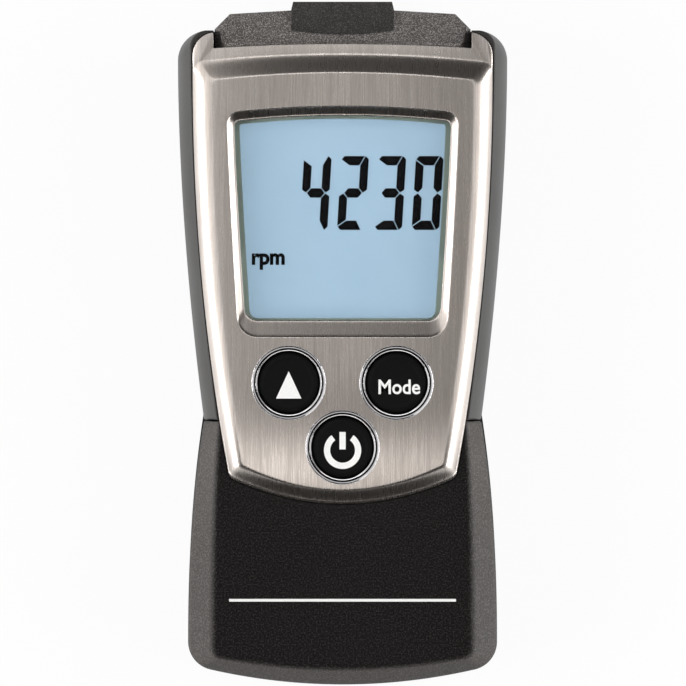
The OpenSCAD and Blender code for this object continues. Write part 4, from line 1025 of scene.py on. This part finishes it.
# %% Hand the finishes out
FINISHES = [
    (head_plastic, ["sensor_head"]), (chip_black, ["microcontroller", "optics_holder"]),
    (screw_steel, ["housing_screws", "board_screws"]), (window_clear, ["display_window"]),
    (tape_grey, ["window_tape"]), (lcd_blue, ["lcd_panel"]), (lcd_ink, ["lcd_segments"]),
    (white_plastic, ["lcd_frame"]), (clear_plastic, ["backlight_guide"]), (board_green, ["main_board"]),
    (gold_pads, ["key_pads"]), (tinned, ["quartz_crystal", "sensor_leads", "backlight_leds"]),
    (ceramic, ["board_capacitors"]), (carbon_rubber, ["zebra_strip"] + [f"pill_{key}" for key in KEYS]),
    (silicone, ["keypad_mat"] + [f"{part}_{key}" for part in ("plunger", "collar") for key in KEYS]),
    (legend_white, ["legend_up", "legend_power"]), (cell_sleeve, ["cell_left", "cell_right"]),
    (spring_steel, ["spring_left", "spring_right", "bridge_contact", "plus_contact", "minus_contact"]),
    (red_clear, ["sensor_window"]), (lens_clear, ["emitter_lens", "receiver_lens"]),
    (led_red, ["emitter_led"]), (diode_dark, ["receiver_diode"]),
]
SOFTENED = {"sensor_head": 0.14, "housing_screws": 0.08, "board_screws": 0.05, "cell_left": 0.1,
            "cell_right": 0.1, "lcd_frame": 0.1, "microcontroller": 0.12, "main_board": 0.08,
            "quartz_crystal": 0.15, "optics_holder": 0.08, "board_capacitors": 0.1}
for finish, names in FINISHES:
    for name in names:
        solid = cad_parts[name]
        solid.data.materials.clear()
        solid.data.materials.append(finish)
        solid.modifiers.new("weld", "WELD").merge_threshold = 2e-6
        if name in SOFTENED:
            bevel = solid.modifiers.new("soft edges", "BEVEL")
            bevel.width, bevel.segments = SOFTENED[name] * MM, 3
            bevel.limit_method, bevel.angle_limit = "ANGLE", math.radians(28)
            bevel.harden_normals = True
dressed = [name for _, names in FINISHES for name in names]
left = sorted(name for name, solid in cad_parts.items() if name not in dressed and not solid.hide_render)
print("dressed solids:", len(dressed), "| left:", left)

# %% [markdown]
# ## The studio
#
# The picture is taken from straight above with a long lens. Steel and chrome show whatever stands around
# them, so the studio is built for the plate. Two soft boxes light the plastic and are hidden from the
# metal. What the metal sees is a room of glowing cards: a dim ceiling for the warm grey of the flat face,
# brighter cards at its foot end for the lower part of the face, pale cards on the left and right that
# whiten the side bevels, and dark flags beyond the top and the bottom that keep the end bevels dark. Low
# strips graze the sides. The floor is white where the camera sees it, yet it keeps the shadow.


# %% Floor and world
def white_rays(tree):
    """One for the rays that come from the camera, through glass or off metal."""
    rays = node(tree, "ShaderNodeLightPath").outputs
    seen = maths(tree, "MAXIMUM", rays["Is Camera Ray"], rays["Is Transmission Ray"])
    return maths(tree, "MAXIMUM", seen, rays["Is Glossy Ray"])


def stage_floor():
    half, top, thick, whiteness = 1500, -0.02, 2, 0.93
    corners = [(-half, -half), (half, -half), (half, half), (-half, half)]
    sheet = Draft().solid([at_height(corners, z) for z in (top - thick, top)])
    floor = place_mesh("floor", sheet.mesh("floor"))
    floor.data.transform(Matrix.Scale(MM, 4))
    f = Finish("Studio paper", Roughness=0.9, Specular_IOR_Level=0.1)
    paper = f.group(grain_group, Grains_per_metre=900.0, Plastic=tone(236, 236, 236),
                    Fleck=tone(240, 240, 240))
    f.feed("Base Color", paper["Colour"])
    white = node(f.tree, "ShaderNodeEmission", Color=(1, 1, 1, 1), Strength=1.0)
    f.mix_over(white, maths(f.tree, "MULTIPLY", white_rays(f.tree), whiteness))
    floor.data.materials.append(f.material)
    floor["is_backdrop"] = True


stage_floor()
world = bpy.data.worlds.new("Studio")
bpy.context.scene.world = world
world.use_nodes = True
tree = world.node_tree
tree.nodes.clear()
backdrop = node(tree, "ShaderNodeBackground", Color=(1, 1, 1, 1), Strength=1.0)
room = node(tree, "ShaderNodeBackground", Color=(1.0, 0.985, 0.97, 1), Strength=0.16)
mix = node(tree, "ShaderNodeMixShader", i0=white_rays(tree), i1=room.outputs[0], i2=backdrop.outputs[0])
tree.links.new(mix.outputs[0], tree.nodes.new("ShaderNodeOutputWorld").inputs["Surface"])
print("floor and world:", world.name)


# %% Soft boxes
def soft_box(name, place, wide, tall, radiance, colour=(1, 1, 1), in_metal=True):
    """An area lamp of a given size in metres, turned to the middle of the instrument."""
    lamp = bpy.data.lights.new(name, "AREA")
    lamp.shape, lamp.size, lamp.size_y = "RECTANGLE", wide, tall
    lamp.energy, lamp.color = radiance * math.pi * wide * tall, colour
    thing = bpy.data.objects.new(name, lamp)
    bpy.context.scene.collection.objects.link(thing)
    thing.location = place
    thing.rotation_euler = Vector(place).to_track_quat("Z", "Y").to_euler()
    thing.visible_camera, thing.visible_glossy = False, in_metal


soft_box("left box", (-0.62, -0.05, 0.4), 0.62, 0.6, 4.6, in_metal=False)
soft_box("right box", (0.62, 0.0, 0.4), 0.62, 0.6, 3.9, in_metal=False)
soft_box("overhead box", (0.0, 0.0, 1.3), 0.62, 0.42, 0.36, (1.0, 0.985, 0.965))
soft_box("crest strip", (0.0, 0.5, 1.05), 0.9, 0.17, 2.2)
soft_box("left low strip", (-0.7, -0.1, 0.06), 0.9, 0.12, 11.0)
soft_box("right low strip", (0.7, -0.1, 0.06), 0.9, 0.12, 13.0)
print("lamps:", len(bpy.data.lights))


# %% Cards that only metal sees
def card(name, corners, grey, thick=0.004):
    """A card of plain board. It is seen in the metal, casts no shadow and hides from the camera."""
    near = [Vector(c) for c in corners]
    away = (near[1] - near[0]).cross(near[3] - near[0]).normalized() * thick
    faces = [[tuple(c / MM) for c in near], [tuple((c + away) / MM) for c in near]]
    board = place_mesh(name, Draft().solid(faces).mesh(name))
    board.data.transform(Matrix.Scale(MM, 4))
    f = Finish(name + " board", Roughness=1.0, Specular_IOR_Level=0.0, Emission_Strength=1.0,
               Emission_Color=(grey, grey * 0.975, grey * 0.95, 1))
    tooth = f.group(grain_group, Grains_per_metre=200.0, Plastic=(0, 0, 0, 1), Fleck=(0, 0, 0, 1))
    f.feed("Base Color", tooth["Colour"])
    board.data.materials.append(f.material)
    board.visible_camera = board.visible_shadow = board.visible_diffuse = False
    board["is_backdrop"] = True


def overhead_card(name, x, y, z, grey):
    card(name, [(x[0], y[0], z), (x[0], y[1], z), (x[1], y[1], z), (x[1], y[0], z)], grey)


def wall(name, plan_line, low, high, grey):
    """Cards that stand along a line of (x, y) corners, drawn so that their faces look inwards."""
    for i, (a, b) in enumerate(zip(plan_line, plan_line[1:])):
        card(f"{name} {i + 1}", [(*a, low), (*b, low), (*b, high), (*a, high)], grey)


TOP_LINE = [(-0.5, 0.95), (0.9, 0.8), (0.95, 0.2)]
overhead_card("ceiling card", (-0.6, 0.8), (-0.6, 0.8), 1.5, 0.2)
overhead_card("foot card, left", (-0.9, 0.1), (-0.88, -0.6), 1.42, 2.3)
overhead_card("foot card, right", (0.1, 0.9), (-0.88, -0.6), 1.42, 1.7)
wall("top flag", TOP_LINE, 0.01, 0.42, 0.015)
wall("top grey card", TOP_LINE, 0.42, 1.2, 0.06)
wall("bottom flag", [(0.95, -0.42), (0.9, -0.8), (-0.9, -0.8), (-0.95, -0.5)], 0.04, 1.3, 0.01)
wall("left card", [(-0.95, -0.45), (-0.95, 0.5), (-0.6, 0.95)], 0.0, 1.0, 1.3)
wall("right card", [(0.95, 0.18), (0.95, -0.4)], 0.0, 1.0, 1.15)
print("studio lit")

# %% [markdown]
# ## Camera, sizes and the end
#
# The camera stands more than three metres above the part with a very long lens, so that one millimetre is
# nearly the same number of pixels at every height of the face. The square picture is 95.6 mm wide at the
# height of the display window. At the end the sizes of the boxes of the solids and of the dressed part are
# printed.

# %% Camera
CAMERA_AT = 3.6
SCALE_Z = 0.021
SENSOR = 36
PICTURE_WIDTH = SENSOR / 376.5
camera = bpy.data.objects.new("camera", bpy.data.cameras.new("camera"))
bpy.context.scene.collection.objects.link(camera)
camera.location = (0.00006, 0.00004, CAMERA_AT)
camera.data.sensor_width = SENSOR
camera.data.lens = SENSOR / PICTURE_WIDTH * (CAMERA_AT - SCALE_Z)
camera.data.clip_end = 20
bpy.context.scene.camera = camera
bpy.context.scene.view_settings.view_transform = "Standard"
print("picture width:", round(PICTURE_WIDTH / MM, 2), "mm")

# %% Print the boxes
visual_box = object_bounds()
for label, (low, high) in (("cad", cad_box), ("visual", visual_box)):
    print(label, [round((b - a) / MM, 2) for a, b in zip(low, high)], "mm")
